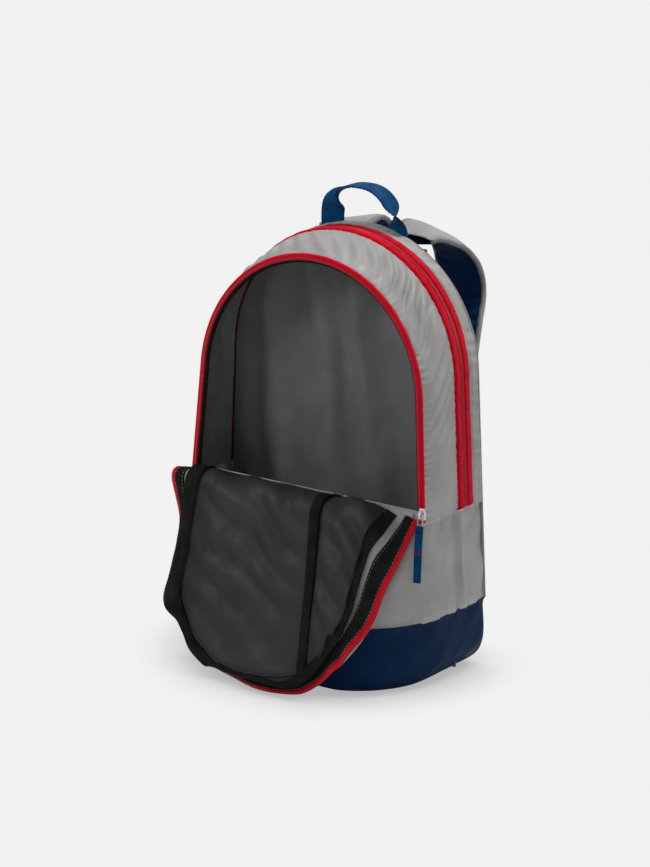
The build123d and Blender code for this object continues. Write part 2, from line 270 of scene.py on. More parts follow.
def sheet(name, grid, material, flip=False, close_rows=False, close_columns=False):
    """Cloth sheet through a grid of points (rows, columns, 3), with UVs from its mean spacing."""
    rows, columns = grid.shape[:2]
    faces = []
    for row in range(rows if close_rows else rows - 1):
        here = row * columns
        below = (row + 1) % rows * columns
        for place in range(columns if close_columns else columns - 1):
            beside = (place + 1) % columns
            face = [here + place, here + beside, below + beside, below + place]
            faces.append(face[::-1] if flip else face)
    across, along = lengths(grid)
    uv = [(u, v) for v in along.mean(1) for u in across.mean(0)]
    return add_mesh(name, grid.reshape(-1, 3), faces, material, uv)


def thicken(piece, thickness, offset=0, lining=None):
    """Give a sheet real thickness; a lining material colours its inner face."""
    solid = piece.modifiers.new("thickness", "SOLIDIFY")
    solid.thickness = thickness
    solid.offset = offset
    if lining is not None:
        piece.data.materials.append(lining)
        solid.material_offset = 1
        solid.material_offset_rim = 0


def soften(piece):
    """Subdivision surface."""
    smooth = piece.modifiers.new("smooth", "SUBSURF")
    smooth.levels = 1
    smooth.render_levels = 1
    return piece


def ribbon(name, path, profile, material, flip=False, caps=True):
    """Sweep a closed cross-section (across, height) along a path of (point, across, up) frames."""
    grid = np.array([[p + a * x + u * h for p, a, u in path] for x, h in profile])
    piece = sheet(name, grid, material, flip, close_rows=True)
    if caps:
        rows, columns = grid.shape[:2]
        first = [row * columns for row in range(rows)]
        last = [row * columns + columns - 1 for row in range(rows)]
        close_ends(piece, first if flip else first[::-1], last[::-1] if flip else last)
    return piece


def close_ends(piece, *loops):
    """Cap the open ends of a swept mesh."""
    mesh = bmesh.new()
    mesh.from_mesh(piece.data)
    mesh.verts.ensure_lookup_table()
    for loop in loops:
        mesh.faces.new([mesh.verts[index] for index in loop])
    bmesh.ops.recalc_face_normals(mesh, faces=mesh.faces)
    mesh.to_mesh(piece.data)
    mesh.free()
    for polygon in piece.data.polygons:
        polygon.use_smooth = len(polygon.vertices) == 4


def squared(value, power):
    """Sine or cosine made squarer by a power below 1."""
    return math.copysign(abs(value) ** power, value)


def oval(width, height, count, power=1.0):
    """Rounded cross-section; a power below 1 squares it up."""
    points = []
    for turn in (2 * math.pi * step / count for step in range(count)):
        x = width / 2 * squared(math.cos(turn), power)
        points.append((x, height / 2 * squared(math.sin(turn), power)))
    return points


def repeat_blocks(name, places, material, size):
    """Many small rounded blocks in one mesh; a place is (centre, along, across, up)."""
    length, width, height = size
    outline = []
    for level, inset in ((0.0, 1.0), (0.6, 0.92), (1.0, 0.5)):
        for x, y in ((-1, -1), (1, -1), (1, 1), (-1, 1)):
            outline.append((x * length / 2 * inset, y * width / 2 * inset, level * height))
    sides = []
    for level in (0, 4):
        for corner in range(4):
            after = (corner + 1) % 4
            sides.append((level + corner, level + after, level + 4 + after, level + 4 + corner))
    sides.append((8, 9, 10, 11))
    sides.append((3, 2, 1, 0))
    points = []
    faces = []
    for centre, along, across, up in places:
        base = len(points)
        points.extend(centre + along * x + across * y + up * z for x, y, z in outline)
        faces.extend(tuple(base + index for index in side) for side in sides)
    return add_mesh(name, points, faces, material)


def stitches(name, points, normals, material, pitch, length=0.0027, thick=0.0006):
    """Row of thread stitches that lies on a line of points."""
    places = []
    for point, along, up in places_along(points, normals, pitch):
        up = up - along * float(up @ along)
        up /= np.linalg.norm(up) + 1e-12
        places.append((point, along, np.cross(up, along), up))
    return repeat_blocks(name, places, material, (length, thick, thick * 0.8))


def zip_teeth(name, grid, row, size, hold, *nodes, pitch=0.0017, flip=False, tilt=0.15):
    """Coil turns along one row of a swept grid."""
    places = []
    for point, along, up in places_along(grid[row], surface_normals(grid, flip)[row], pitch):
        turned = along * math.cos(tilt) + np.cross(up, along) * math.sin(tilt)
        places.append((point, turned, np.cross(up, turned), up))
    # the coil colour is painted darker than its tape as painted shade of the zip's groove
    settle(repeat_blocks(name, places, RED_COIL_PAINTED_SHADE, size), hold, *nodes)


def settle(piece, hold, *nodes, slot=None):
    """A finished piece rides on the body that hold names, or stays where it is, its transform baked in,
    when hold is not a name, and hides the CAD nodes it stands for. The slot argument is not used."""
    if isinstance(hold, str):
        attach(piece, hold)
    else:
        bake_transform(piece)
    if nodes:
        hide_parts(*nodes)


def cloth(name, grid, material, thickness, hold, *nodes, offset=0, lining=None, soft=True, **shape):
    """Sheet of real thickness that settles on what holds it; shape goes to sheet()."""
    piece = sheet(name, grid, material, **shape)
    if soft:
        soften(piece)
    if thickness:
        thicken(piece, thickness, offset, lining)
    settle(piece, hold, *nodes)


def sew(name, line, normals, thread, hold, slot, *size):
    """Stitches that settle on what holds them; size is pitch, length and thickness."""
    settle(stitches(name, line, normals, thread, *size), hold, slot=slot)


def sew_row(name, grid, row, thread, hold, slot, *size, flip=False):
    """Stitches along one row of a grid."""
    sew(name, grid[row], surface_normals(grid, flip)[row], thread, hold, slot, *size)


# ---------------------------------------------------------------- materials

def linear(red, green, blue):
    """Linear colour of an 8-bit display colour."""
    parts = [((c / 255 + 0.055) / 1.055) ** 2.4 if c > 10 else c / 255 / 12.92 for c in (red, green, blue)]
    return (*parts, 1)


def grey(level):
    """Plain grey at a linear level."""
    return (level, level, level, 1)


def feed(tree, node, inputs):
    """Set a node's inputs: a socket is linked and anything else is the value."""
    for name, entry in inputs.items():
        if isinstance(entry, bpy.types.NodeSocket):
            tree.links.new(entry, node.inputs[name])
        else:
            node.inputs[name].default_value = entry


def add_node(tree, kind, inputs=(), **settings):
    """New shader node with its settings and inputs."""
    node = tree.nodes.new("ShaderNode" + kind)
    for name, entry in settings.items():
        setattr(node, name, entry)
    feed(tree, node, dict(inputs))
    return node


class Paint:
    """Small builder for one node material."""

    def __init__(self, name, roughness, metallic=0.0):
        self.material = bpy.data.materials.new(name)
        self.material.use_nodes = True
        self.tree = self.material.node_tree
        self.place = self.node("TexCoord")
        self.height = {}
        self.surface({"Roughness": roughness, "Metallic": metallic})

    def node(self, kind, inputs=(), **settings):
        """New node in this material."""
        return add_node(self.tree, kind, inputs, **settings)

    def surface(self, inputs):
        """Set inputs of the surface shader."""
        feed(self.tree, self.tree.nodes["Principled BSDF"], inputs)

    def coordinates(self, space="Object", scale=(1, 1, 1)):
        """Texture coordinates, scaled."""
        inputs = {"Vector": self.place.outputs[space], "Scale": scale}
        return self.node("Mapping", inputs).outputs["Vector"]

    def noise(self, scale, detail, stretch=(1, 1, 1), distortion=0.0):
        """Noise from 0 to 1; scale counts features per metre."""
        inputs = {"Scale": scale, "Detail": detail, "Distortion": distortion}
        inputs["Vector"] = self.coordinates(scale=stretch)
        return self.node("TexNoise", inputs).outputs["Fac"]

    def ribs(self, pitch, direction):
        """Parallel ribs from 0 to 1 at a pitch in metres."""
        inputs = {"Scale": math.pi / (10 * pitch), "Vector": self.coordinates("UV")}
        bands = {"wave_type": "BANDS", "bands_direction": direction, "wave_profile": "SIN"}
        return self.node("TexWave", inputs, **bands).outputs["Fac"]

    def weave(self, along, across):
        """Threads that cross at two pitches."""
        inputs = {0: self.ribs(along, "X"), 1: self.ribs(across, "Y")}
        return self.node("Math", inputs, operation="MULTIPLY").outputs[0]

    def ramp(self, factor, low, high, start=0.0, end=1.0):
        """Colour between low and high."""
        node = self.node("ValToRGB", {"Fac": factor})
        first, last = node.color_ramp.elements
        first.position = start
        first.color = low
        last.position = end
        last.color = high
        return node.outputs["Color"]

    def multiply(self, colour, other):
        """Product of two colours."""
        node = self.node("Mix", data_type="RGBA", blend_type="MULTIPLY")
        feed(self.tree, node, {"Factor": 1.0, "A": colour, "B": other})
        return node.outputs["Result"]

    def colour(self, colour, wear_and_crease_shade):
        """Base colour with ridges painted a little lighter, partly as rubbed edges and partly as painted
        light, and hollows a little darker as painted shade.
        """
        edges = self.node("NewGeometry").outputs["Pointiness"]
        # pointiness tint: paler ridges, and painted shade in the creases and hollows
        worn_and_shaded = self.ramp(edges, grey(1 - wear_and_crease_shade), grey(1 + wear_and_crease_shade), 0.44, 0.56)
        self.surface({"Base Color": self.multiply(colour, worn_and_shaded)})

    def rough(self, factor, low, high):
        """Roughness between low and high."""
        spread = self.node("MapRange", {"Value": factor, "To Min": low, "To Max": high})
        self.surface({"Roughness": spread.outputs["Result"]})

    def bump(self, height, distance):
        """Add one layer of bump; distance is the real height in metres."""
        node = self.node("Bump", {"Distance": distance, "Height": height, **self.height})
        self.height = {"Normal": node.outputs["Normal"]}
        self.surface(self.height)

    def threads(self, dark, light, patches, threads, low, high, end):
        """Uneven dye, with painted shade between the threads and, where high is above 1, painted light on
        them.
        """
        dye = self.ramp(patches, linear(*dark), linear(*light), 0.3, 0.7)
        # painted shade between the threads, and painted light on their tops when high is above 1
        return self.multiply(dye, self.ramp(threads, grey(low), grey(high), 0.0, end))

    def gloss(self, shine, sheen):
        """Strength of the reflection and of the soft fibre sheen."""
        self.surface({"Specular IOR Level": shine, "Sheen Weight": sheen, "Sheen Roughness": 0.4})


def woven(name, dark, light, pitch, roughness, sheen=0.0, crinkle=0.0006, shine=0.4):
    """Tight woven fabric: thread weave, soft crinkle, uneven dye, painted shade in its gaps and hollows,
    paler ridges.
    """
    paint = Paint(name, sum(roughness) / 2)
    weave = paint.weave(pitch, pitch)
    # ridges paler, partly rubbed and partly painted light; painted shade between the threads and in hollows
    paint.colour(paint.threads(dark, light, paint.noise(28, 4), weave, 0.82, 1, 0.6), 0.12)
    paint.rough(paint.noise(140, 2), *roughness)
    paint.bump(paint.noise(70, 5, distortion=0.6), crinkle)
    paint.bump(weave, pitch * 0.35)
    paint.gloss(shine, sheen)
    return paint.material


def ribbed(name, dark, light, pitch, roughness=0.75, sheen=0.0, cross=0.0):
    """Narrow woven tape with ribs across it, painted shade between the ribs and painted light on them."""
    paint = Paint(name, roughness)
    ribs = paint.weave(pitch, cross) if cross else paint.ribs(pitch, "X")
    paint.colour(paint.threads(dark, light, paint.noise(60, 3), ribs, 0.7, 1.06, 0.7), 0.15)
    paint.rough(paint.noise(200, 2), roughness - 0.1, roughness + 0.1)
    paint.bump(paint.noise(300, 2), 0.0003)
    paint.bump(ribs, pitch * 0.45)
    paint.gloss(0.06, sheen)
    return paint.material


def moulded(name, dark, light, roughness=(0.3, 0.5)):
    """Moulded plastic with a fine grain, and painted shade in its hollows."""
    paint = Paint(name, sum(roughness) / 2)
    paint.colour(paint.ramp(paint.noise(90, 3), linear(*dark), linear(*light)), 0.2)
    paint.rough(paint.noise(400, 3), *roughness)
    paint.bump(paint.noise(1500, 2), 0.00012)
    return paint.material


def plated_metal():
    """Nickel-plated zinc, finely scuffed, with painted shade in its hollows."""
    paint = Paint("plated_metal", 0.3, 1.0)
    paint.colour(paint.ramp(paint.noise(300, 4), linear(176, 176, 180), linear(226, 226, 228)), 0.3)
    paint.rough(paint.noise(900, 4, stretch=(1, 6, 1)), 0.16, 0.42)
    paint.bump(paint.noise(2600, 3), 0.00005)
    return paint.material


def spacer_mesh():
    """Breathable mesh with small open cells."""
    paint = Paint("spacer_mesh", 0.85)
    inputs = {"Scale": 420, "Randomness": 0.25, "Vector": paint.coordinates()}
    cells = paint.node("TexVoronoi", inputs).outputs["Distance"]
    # the pointiness tint paints shade into the mesh's hollows
    paint.colour(paint.ramp(cells, linear(8, 8, 9), linear(58, 58, 61), 0.15, 0.55), 0.15)
    paint.bump(cells, 0.0009)
    paint.bump(paint.noise(60, 3), 0.0008)
    paint.surface({"Sheen Weight": 0.3, "Sheen Roughness": 0.4})
    return paint.material


GREY = woven("grey_satin", (160, 158, 155), (176, 174, 171), 0.0007, (0.3, 0.42), 0.05, shine=0.75)
GREY_INSIDE = woven("grey_inside", (112, 112, 111), (126, 126, 124), 0.0008, (0.5, 0.65), 0.0, 0.0008)
FLAP_INSIDE = woven("flap_inside", (168, 166, 162), (184, 182, 178), 0.0008, (0.4, 0.55), 0.0, 0.0008)
NAVY = woven("navy_polyester", (0, 34, 68), (6, 44, 84), 0.0009, (0.36, 0.5), 0.0, shine=0.08)
NAVY_LINING = woven("navy_lining", (0, 38, 76), (6, 50, 94), 0.0012, (0.5, 0.7), 0.0, shine=0.08)
BLACK = woven("black_nylon", (26, 26, 27), (36, 36, 37), 0.0007, (0.34, 0.46), 0.02, shine=0.5)
# black nylon painted pale grey: painted light standing in for the light that falls on the divider
DIVIDER_PAINTED_LIGHT = woven("divider_nylon_painted_light", (96, 96, 96), (112, 112, 112), 0.0008, (0.4, 0.54), 0.02, shine=0.5)
BINDING = ribbed("black_grosgrain", (24, 24, 23), (38, 38, 36), 0.0011)
GREY_BINDING = ribbed("grey_grosgrain", (142, 141, 139), (164, 163, 161), 0.0011)
NAVY_WEBBING = ribbed("navy_webbing", (0, 52, 98), (8, 86, 138), 0.0016, 0.42, 0.0, 0.0022)
BLACK_WEBBING = ribbed("black_webbing", (22, 22, 24), (38, 38, 41), 0.0016, 0.6, 0.05, 0.0022)
RED_TAPE = ribbed("red_tape", (214, 0, 32), (232, 6, 44), 0.0010, 0.5)
# coil red painted darker than the tape: painted shade of the groove the coil sits in
RED_COIL_PAINTED_SHADE = moulded("red_coil", (146, 0, 22), (180, 2, 32), (0.3, 0.45))
PLASTIC = moulded("black_plastic", (18, 18, 19), (32, 32, 34))
BOARD = moulded("grey_board", (120, 120, 122), (150, 150, 152), (0.6, 0.8))
METAL = plated_metal()
MESH = spacer_mesh()
DARK_THREAD = ribbed("dark_thread", (30, 30, 32), (56, 56, 58), 0.0004)
GREY_THREAD = ribbed("grey_thread", (120, 120, 120), (165, 165, 165), 0.0004)
NAVY_THREAD = ribbed("navy_thread", (14, 34, 70), (30, 60, 110), 0.0004)
RED_THREAD = ribbed("red_thread", (170, 12, 34), (210, 30, 56), 0.0004)


# ---------------------------------------------------------------- body of the bag

FOOT_ARCH = Arch(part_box("back_panel")[1].x, NAVY_TOP, CROWN, CROWN_RADIUS)
LOWER_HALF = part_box("base_tub")[1].x
LOWER_FRONT = -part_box("base_tub")[0].y
PLAN_POWER = 2.65
FRONT_REACH = ((0.022, LOWER_FRONT), (0.066, 0.136), (0.124, 0.108), (SEAM, -FOLD[1] + 0.001))


def rounding(z, radius):
    """How far a wall steps in near the ground to make a rounded bottom edge."""
    rise = min(max((radius - z) / radius, 0.0), 1.0)
    return radius * (1 - math.sqrt(1 - rise * rise))


def smooth_max(a, b, blend):
    """Larger of two values, with a soft change between them."""
    return (a + b + math.sqrt((a - b) ** 2 + blend ** 2)) / 2


def lower_section(z, inset, count=300):
    """Closed outline of the lower body at a height, counterclockwise from the middle of the back."""
    side = FOOT_ARCH.half_width + (NAVY_TOP - z) * math.tan(FOOT_ARCH.lean)
    side = min(side, LOWER_HALF) - rounding(z, 0.034) - inset
    heights, reaches = zip(*FRONT_REACH)
    front = float(np.interp(z, heights, reaches)) - rounding(z, 0.024) - inset
    back = BACK - rounding(z, 0.018) - inset
    plan = LOWER_HALF + 0.001 - rounding(z, 0.024) - inset
    corners = np.array([(0, back), (-side, back), (-side, -front), (side, -front), (side, back), (0, back)])
    aims = []
    for start, end, steps in zip(corners, corners[1:], (60, 60, 120, 60, 59)):
        aims.extend(mix(start, end, share) for share in np.linspace(0, 1, steps, endpoint=False))
    aims.append(corners[-1])
    outline = []
    for x, y in aims:
        gauge = max(abs(x) / side, y / back)
        if y < 0:
            oval_gauge = ((abs(x) / plan) ** PLAN_POWER + (-y / plan) ** PLAN_POWER) ** (1 / PLAN_POWER)
            gauge = smooth_max(max(abs(x) / side, -y / front), oval_gauge, 0.012)
        outline.append((x / gauge, y / gauge))
    even = at_places(outline, np.linspace(0, distances(outline)[-1], count, endpoint=False))
    for _ in range(3):
        even = (np.roll(even, 1, axis=0) + 2 * even + np.roll(even, -1, axis=0)) / 4
    return even[::-1]


def lower_grid(heights, inset=0.0):
    """Rows of lower-body outlines at the given heights."""
    sections = [(lower_section(z, inset), z) for z in heights]
    return np.array([np.column_stack([section, np.full(len(section), z)]) for section, z in sections])


def cloth_drift(grid, height, size, seed):
    """Broad soft unevenness of a hanging panel."""
    x, y, z = np.moveaxis(grid, 2, 0)
    return height * noise_field((x + y * 0.7) / size, z / (size * 1.7), seed)


def diagonal_folds(grid, height, pitch, slope, seed):
    """Soft pulled folds that run across a panel at a slope."""
    x, y, z = np.moveaxis(grid, 2, 0)
    run = x - y + z * slope
    bend = noise_field(run / (pitch * 4), z / (pitch * 5), seed)
    strength = 0.5 + 0.5 * noise_field(run / (pitch * 6), z / (pitch * 2.5), seed + 3)
    return height * np.sin(2 * math.pi * run / pitch + 3 * bend) * np.clip(strength, 0, 1)


def make_base():
    """Navy tub: rounded walls, gathered at its top seam, with its underside and stiffening board."""
    ground = 0.0008
    heights = ground + (NAVY_TOP - ground) * np.linspace(0, 1, 44) ** 1.25
    grid = lower_grid(heights, 0.0006)
    drop = NAVY_TOP - grid[:, :, 2]
    calm = np.clip(grid[:, :, 2] / 0.02, 0, 1)
    amount = puckers(lengths(grid)[0], drop, 0.011, 0.0007, 0.016, 2) + pinch(drop)
    amount += (diagonal_folds(grid, 0.0009, 0.034, 0.9, 5) + cloth_drift(grid, 0.0014, 0.05, 4)) * calm
    amount -= 0.0012 * np.exp(-drop / 0.0025)
    grid = puff(grid, amount)
    cloth("base_tub_fabric", grid, NAVY, THICK_FABRIC, "bag", "base_tub", close_columns=True)

    centre = np.array([0.0, -0.05, 0.001])
    rows = 9
    floor = np.array([mix(grid[0], centre, share) for share in np.linspace(0, 0.97, rows)])
    floor[:, :, 2] = 0.0009 + 0.0012 * column(*np.linspace(0, 1, rows))
    board = mix(centre, floor, 0.93)
    board[:, :, 2] = floor[:, :, 2] + 0.0024
    flat = {"soft": False, "flip": True, "close_columns": True}
    cloth("base_underside", floor, NAVY, 0.001, "bag", **flat)
    cloth("base_board_sheet", board, BOARD, 0.002, "bag", "base_board", **flat)

    top = grid[-4]
    normals = surface_normals(grid)[-4]
    loop = np.vstack([top, top[:1]])
    normals = np.vstack([normals, normals[:1]])
    sew("base_seam_stitches", loop, normals, NAVY_THREAD, "bag", "navy_polyester", SEAM_PITCH)


def split_lower(grid):
    """Columns of the lower body in front of the main zip, and behind it on the right and on the left."""
    x, y, _ = grid[len(grid) // 2].T
    side = (y > ZIP_FRONT - 0.002) & (np.abs(x) > 0.12) & (y < BACK - 0.001)
    return grid[:, y <= ZIP_FRONT + 0.002], grid[:, side & (x > 0)], grid[:, side & (x < 0)]


def make_lower_panels():
    """Grey panels between the navy base and the side seam."""
    grid = lower_grid(np.linspace(NAVY_TOP - 0.001, SEAM + 0.001, 50))
    along = lengths(grid)[0]
    up = grid[:, :, 2] - NAVY_TOP
    down = SEAM - grid[:, :, 2]
    crease = grid[:, :, 1] - ZIP_FRONT
    amount = puckers(along, up, 0.0095, 0.0009, 0.014, 11) + pinch(up)
    amount += puckers(along, down, 0.012, 0.0007, 0.012, 13) + pinch(down)
    amount += diagonal_folds(grid, 0.0013, 0.03, 0.7, 15) + cloth_drift(grid, 0.0022, 0.06, 17)
    amount -= 0.0026 * np.exp(-((crease / 0.004) ** 2))
    amount += 0.0016 * np.exp(-(((crease + 0.011) / 0.006) ** 2))
    grid = puff(grid, amount)
    nodes = ("lower_front_panel", "side_panel_right", "side_panel_left")
    names = ("lower_front_fabric", "side_fabric_right", "side_fabric_left")
    for name, part, node in zip(names, split_lower(grid), nodes):
        cloth(name, part, GREY, FABRIC, "bag", node)
    for name, row in (("lower_seam_stitches", 3), ("upper_seam_stitches", -4)):
        sew_row(name, grid, row, GREY_THREAD, "bag", "grey_polyester", SEAM_PITCH)


def arch_sweep(arch, profile, count):
    """Grid swept round an upright arch; the profile gives (depth y, distance outward)."""
    places = [arch.at(share) for share in np.linspace(0, 1, count)]
    rows = [[(x + across * out, y, z + up * out) for x, z, across, up in places] for y, out in profile]
    return np.array(rows)


def front_sweep(arch, profile, count=300):
    """Grid swept round the front opening; the profile gives (inset from the arch, distance out)."""
    x, up, across, rise = np.transpose([arch.at(share) for share in np.linspace(0, 1, count)])
    rows = []
    for inset, out in profile:
        places = zip(x - across * inset, up - rise * inset)
        rows.append([front_plane(*place, out) for place in places])
    return np.array(rows)


def gusset_grid(rows=44, columns=330):
    """Front gusset from the main zip, first row, to the front zip, last row."""
    rear = arch_sweep(MAIN, [(ZIP_FRONT, 0.0)], columns)[0]
    front = front_sweep(OPENING.lowered(0.0045), [(0.0, -0.001)], columns)[0]
    return np.array([mix(rear, front, part) for part in np.linspace(0, 1, rows)])


def make_front_gusset():
    """Grey satin gusset: small gathers beside the front zip and pulled folds across it."""
    grid = gusset_grid()
    along, back = lengths(grid)
    width = back[-1][None, :]
    front = width - back
    middle = np.sin(math.pi * back / width)
    share = np.linspace(0, 1, grid.shape[1])[None, :]
    shoulder = np.exp(-(((share - 0.36) / 0.16) ** 2)) + 0.45 * np.exp(-(((share - 0.66) / 0.12) ** 2))
    bend = noise_field(along / 0.07, back / 0.05, 23)
    folds = np.sin(2 * math.pi * (along + back * 1.1) / 0.021 + 4.2 * bend) * middle
    fade = 0.35 + 0.65 * np.clip(noise_field(along / 0.045, back / 0.04, 27) + 0.4, 0, 1)
    amount = 0.0026 * middle + 0.0030 * folds * shoulder * fade
    amount += 0.0007 * folds * fade + 0.0026 * middle * noise_field(along / 0.05, back / 0.03, 21)
    amount += puckers(along, front, 0.0072, 0.0012, 0.008, 25)
    amount += puckers(along, back, 0.009, 0.0006, 0.008, 26)
    amount += pinch(front, 0.001) + pinch(back, 0.001)
    amount += pinch(np.minimum(grid[:, :, 2] - SEAM, 0.05), 0.0008, 0.003)
    grid = puff(grid, amount)
    lined = {"offset": -1, "lining": GREY_INSIDE}
    cloth("front_gusset_fabric", grid, GREY, THICK_FABRIC, "bag", "front_gusset", **lined)


def make_main_zip():
    """Two red tapes, their folded edges and the coil between them."""
    half = (ZIP_REAR - ZIP_FRONT) / 2
    coil = -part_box("main_zip_chain")[0].y
    profile = [(-half - 0.0006, -0.0012), (-half, 0.0004), (-half + 0.0012, 0.0012), (-half * 0.62, 0.0014)]
    profile += [(-coil - 0.0007, 0.0012), (-coil, 0.0004), (-coil + 0.0006, -0.0012)]
    mirrored = [(-y, out) for y, out in profile]
    for name, outline, seam_row in (("front", profile[::-1], -3), ("rear", mirrored, 2)):
        grid = arch_sweep(MAIN, outline, 300)
        along, across = lengths(grid)
        amount = puckers(along, across * 0, 0.017, 0.00035, 1, 31)
        grid = puff(grid, amount + 0.0003 * noise_field(along / 0.03, across / 0.01, 32))
        cloth(f"main_zip_{name}_tape_cloth", grid, RED_TAPE, THIN_FABRIC, "bag", f"main_zip_{name}_tape")
        normals = surface_normals(grid)[2]
        sew(f"main_zip_{name}_stitches", grid[seam_row], normals, RED_THREAD, "bag", "red_zip_tape", 0.0034)
    dips = ((1, -0.0016), (0.5, -0.0008), (0, -0.0005), (-0.5, -0.0008), (-1, -0.0016))
    bed = arch_sweep(MAIN, [(coil * side, dip) for side, dip in dips], 300)
    cloth("main_zip_coil_bed", bed, RED_TAPE, TAPE, "bag", soft=False)
    size = (0.00115, coil * 1.55, 0.0017)
    zip_teeth("main_zip_coil", bed, 2, size, "bag", "main_zip_chain", pitch=0.00165, tilt=0.16)


def make_rear_gusset():
    """Grey strip behind the main zip, with a fold in it and a piped edge at the back."""
    depth = BACK - ZIP_REAR
    edge = BACK - 0.0012
    profile = [(edge, -0.0004)]
    for part in np.linspace(0.86, 0.0, 9):
        profile.append((ZIP_REAR + depth * part, 0.0006 + 0.0022 * math.sin(math.pi * part)))
    grid = arch_sweep(MAIN, profile, 330)
    along, across = lengths(grid)
    middle = np.clip(across / depth, 0, 1)
    amount = puckers(along, across * 0, 0.013, 0.0007, 1, 41) * np.sin(math.pi * middle)
    amount += 0.0013 * noise_field(along / 0.04, across / 0.006, 42)
    amount -= 0.0012 * np.exp(-(((middle - 0.5) / 0.12) ** 2))
    cloth("rear_gusset_fabric", puff(grid, amount), GREY, FABRIC, "bag", "rear_gusset", offset=-1)
    cord = []
    for x, z, across, up in (FOOT_ARCH.at(share) for share in np.linspace(0, 1, 300)):
        cord.append((np.array([x, edge, z]), np.array([across, 0, up]), TO_BACK))
    settle(ribbon("back_piping", cord, oval(0.0036, 0.0036, 8), GREY_BINDING, flip=True), "bag")


def arch_fill(arch, rows, columns, bottom):
    """Grid of (across, up) pairs that fills an arch outline from a bottom height up to its edge."""
    grid = np.zeros((rows, columns, 2))
    for place, side in enumerate(np.linspace(-1, 1, columns)):
        top = arch.height_at(side * arch.spring_x)
        for row, up in enumerate(mix(bottom, top, np.linspace(0, 1, rows))):
            grid[row, place] = (side * arch.width_at(min(up, arch.spring_y)), up)
    return grid


def upright_grid(flat, y):
    """Upright grid at a depth from (across, up) pairs."""
    return np.stack([flat[:, :, 0], np.full(flat.shape[:2], y), flat[:, :, 1]], 2)


def edge_distance(arch, x, y):
    """Rough distance inside an arch's edge."""
    side = np.vectorize(arch.width_at)(y) - np.abs(x)
    radial = arch.radius - np.hypot(x, np.maximum(y - arch.centre, 0))
    return np.where(y > arch.spring_y, radial, side)


def make_back():
    """Padded back panel: raised away from its edge, with soft unevenness and puckers near the edge."""
    flat = arch_fill(FOOT_ARCH.inset(0.001), 90, 90, NAVY_TOP - 0.002)
    x, z = np.moveaxis(flat, 2, 0)
    edge = np.maximum(edge_distance(FOOT_ARCH, x, z), 0)
    amount = 0.0022 * (1 - np.exp(-edge / 0.012)) - 0.0018
    amount += 0.0009 * noise_field(x / 0.05, z / 0.06, 51) + puckers(z, edge, 0.014, 0.0005, 0.012, 52)
    grid = puff(upright_grid(flat, BACK - 0.0008), amount, True)
    cloth("back_panel_fabric", grid, GREY, 0.0014, "bag", "back_panel", offset=-1, flip=True)


def make_divider():
    """Black divider behind the racket compartment, hanging in soft upright folds; its black is painted pale
    grey as painted light.
    """
    low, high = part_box("compartment_divider")
    outline = Arch(high.x - 0.002, low.z, high.z - 0.001, CROWN_RADIUS - 0.006)
    flat = arch_fill(outline, 110, 120, low.z + 0.002)
    x, z = np.moveaxis(flat, 2, 0)
    edge = np.clip(edge_distance(outline, x, z) / 0.03, 0, 1)
    fold = np.sin(2 * math.pi * (x + 0.12 * z) / 0.062 + 3.4 * noise_field(x / 0.09, z / 0.16, 61))
    amount = (0.0046 * fold + 0.0052 * noise_field(x / 0.036, z / 0.15, 62)) * edge
    amount += 0.0009 * noise_field(x / 0.016, z / 0.03, 63) * edge
    grid = puff(upright_grid(flat, (low.y + high.y) / 2), amount)
    cloth("compartment_divider_cloth", grid, DIVIDER_PAINTED_LIGHT, 0.001, "bag", "compartment_divider")


def cushion(name, low, high, material):
    """Foam pad between two corners, blown up as cloth from a slightly smaller rounded slab."""
    size = high - low
    mesh = bmesh.new()
    bmesh.ops.create_cube(mesh, size=1)
    bmesh.ops.scale(mesh, vec=(size.x * 0.93, size.y * 0.6, size.z * 0.975), verts=mesh.verts)
    upright = [edge for edge in mesh.edges if abs(edge.verts[0].co.y - edge.verts[1].co.y) > size.y * 0.3]
    bmesh.ops.bevel(mesh, geom=upright, offset=0.016, segments=4, affect="EDGES", profile=0.5)
    bmesh.ops.translate(mesh, vec=(low + high) / 2, verts=mesh.verts)
    data = bpy.data.meshes.new(name)
    mesh.to_mesh(data)
    mesh.free()
    pad = add_object(name, data)
    remesh = pad.modifiers.new("voxels", "REMESH")
    remesh.mode = "VOXEL"
    remesh.voxel_size = 0.004
    apply_modifier(pad, "voxels")
    inflate(pad, 0.0042)
    pad.data.materials.append(material)
    for polygon in pad.data.polygons:
        polygon.use_smooth = True
    return pad


def apply_modifier(piece, name):
    """Bake one modifier into the mesh."""
    bpy.ops.object.select_all(action="DESELECT")
    piece.select_set(True)
    bpy.context.view_layer.objects.active = piece
    bpy.ops.object.modifier_apply(modifier=name)


def inflate(piece, cap):
    """Blow a closed mesh up as cloth; no point moves further than the cap."""
    rest = np.array([vertex.co for vertex in piece.data.vertices])
    swell = piece.modifiers.new("swell", "CLOTH")
    swell.settings.use_pressure = True
    swell.settings.uniform_pressure_force = 4
    swell.settings.effector_weights.gravity = 0
    swell.settings.quality = 5
    swell.point_cache.frame_start = 1
    swell.point_cache.frame_end = 20
    for step in range(1, 21):
        bpy.context.scene.frame_set(step)
    apply_modifier(piece, "swell")
    bpy.context.scene.frame_set(1)
    for vertex, start in zip(piece.data.vertices, rest):
        move = np.array(vertex.co) - start
        length = np.linalg.norm(move)
        if length > cap:
            vertex.co = Vector(start + move * (cap / length))


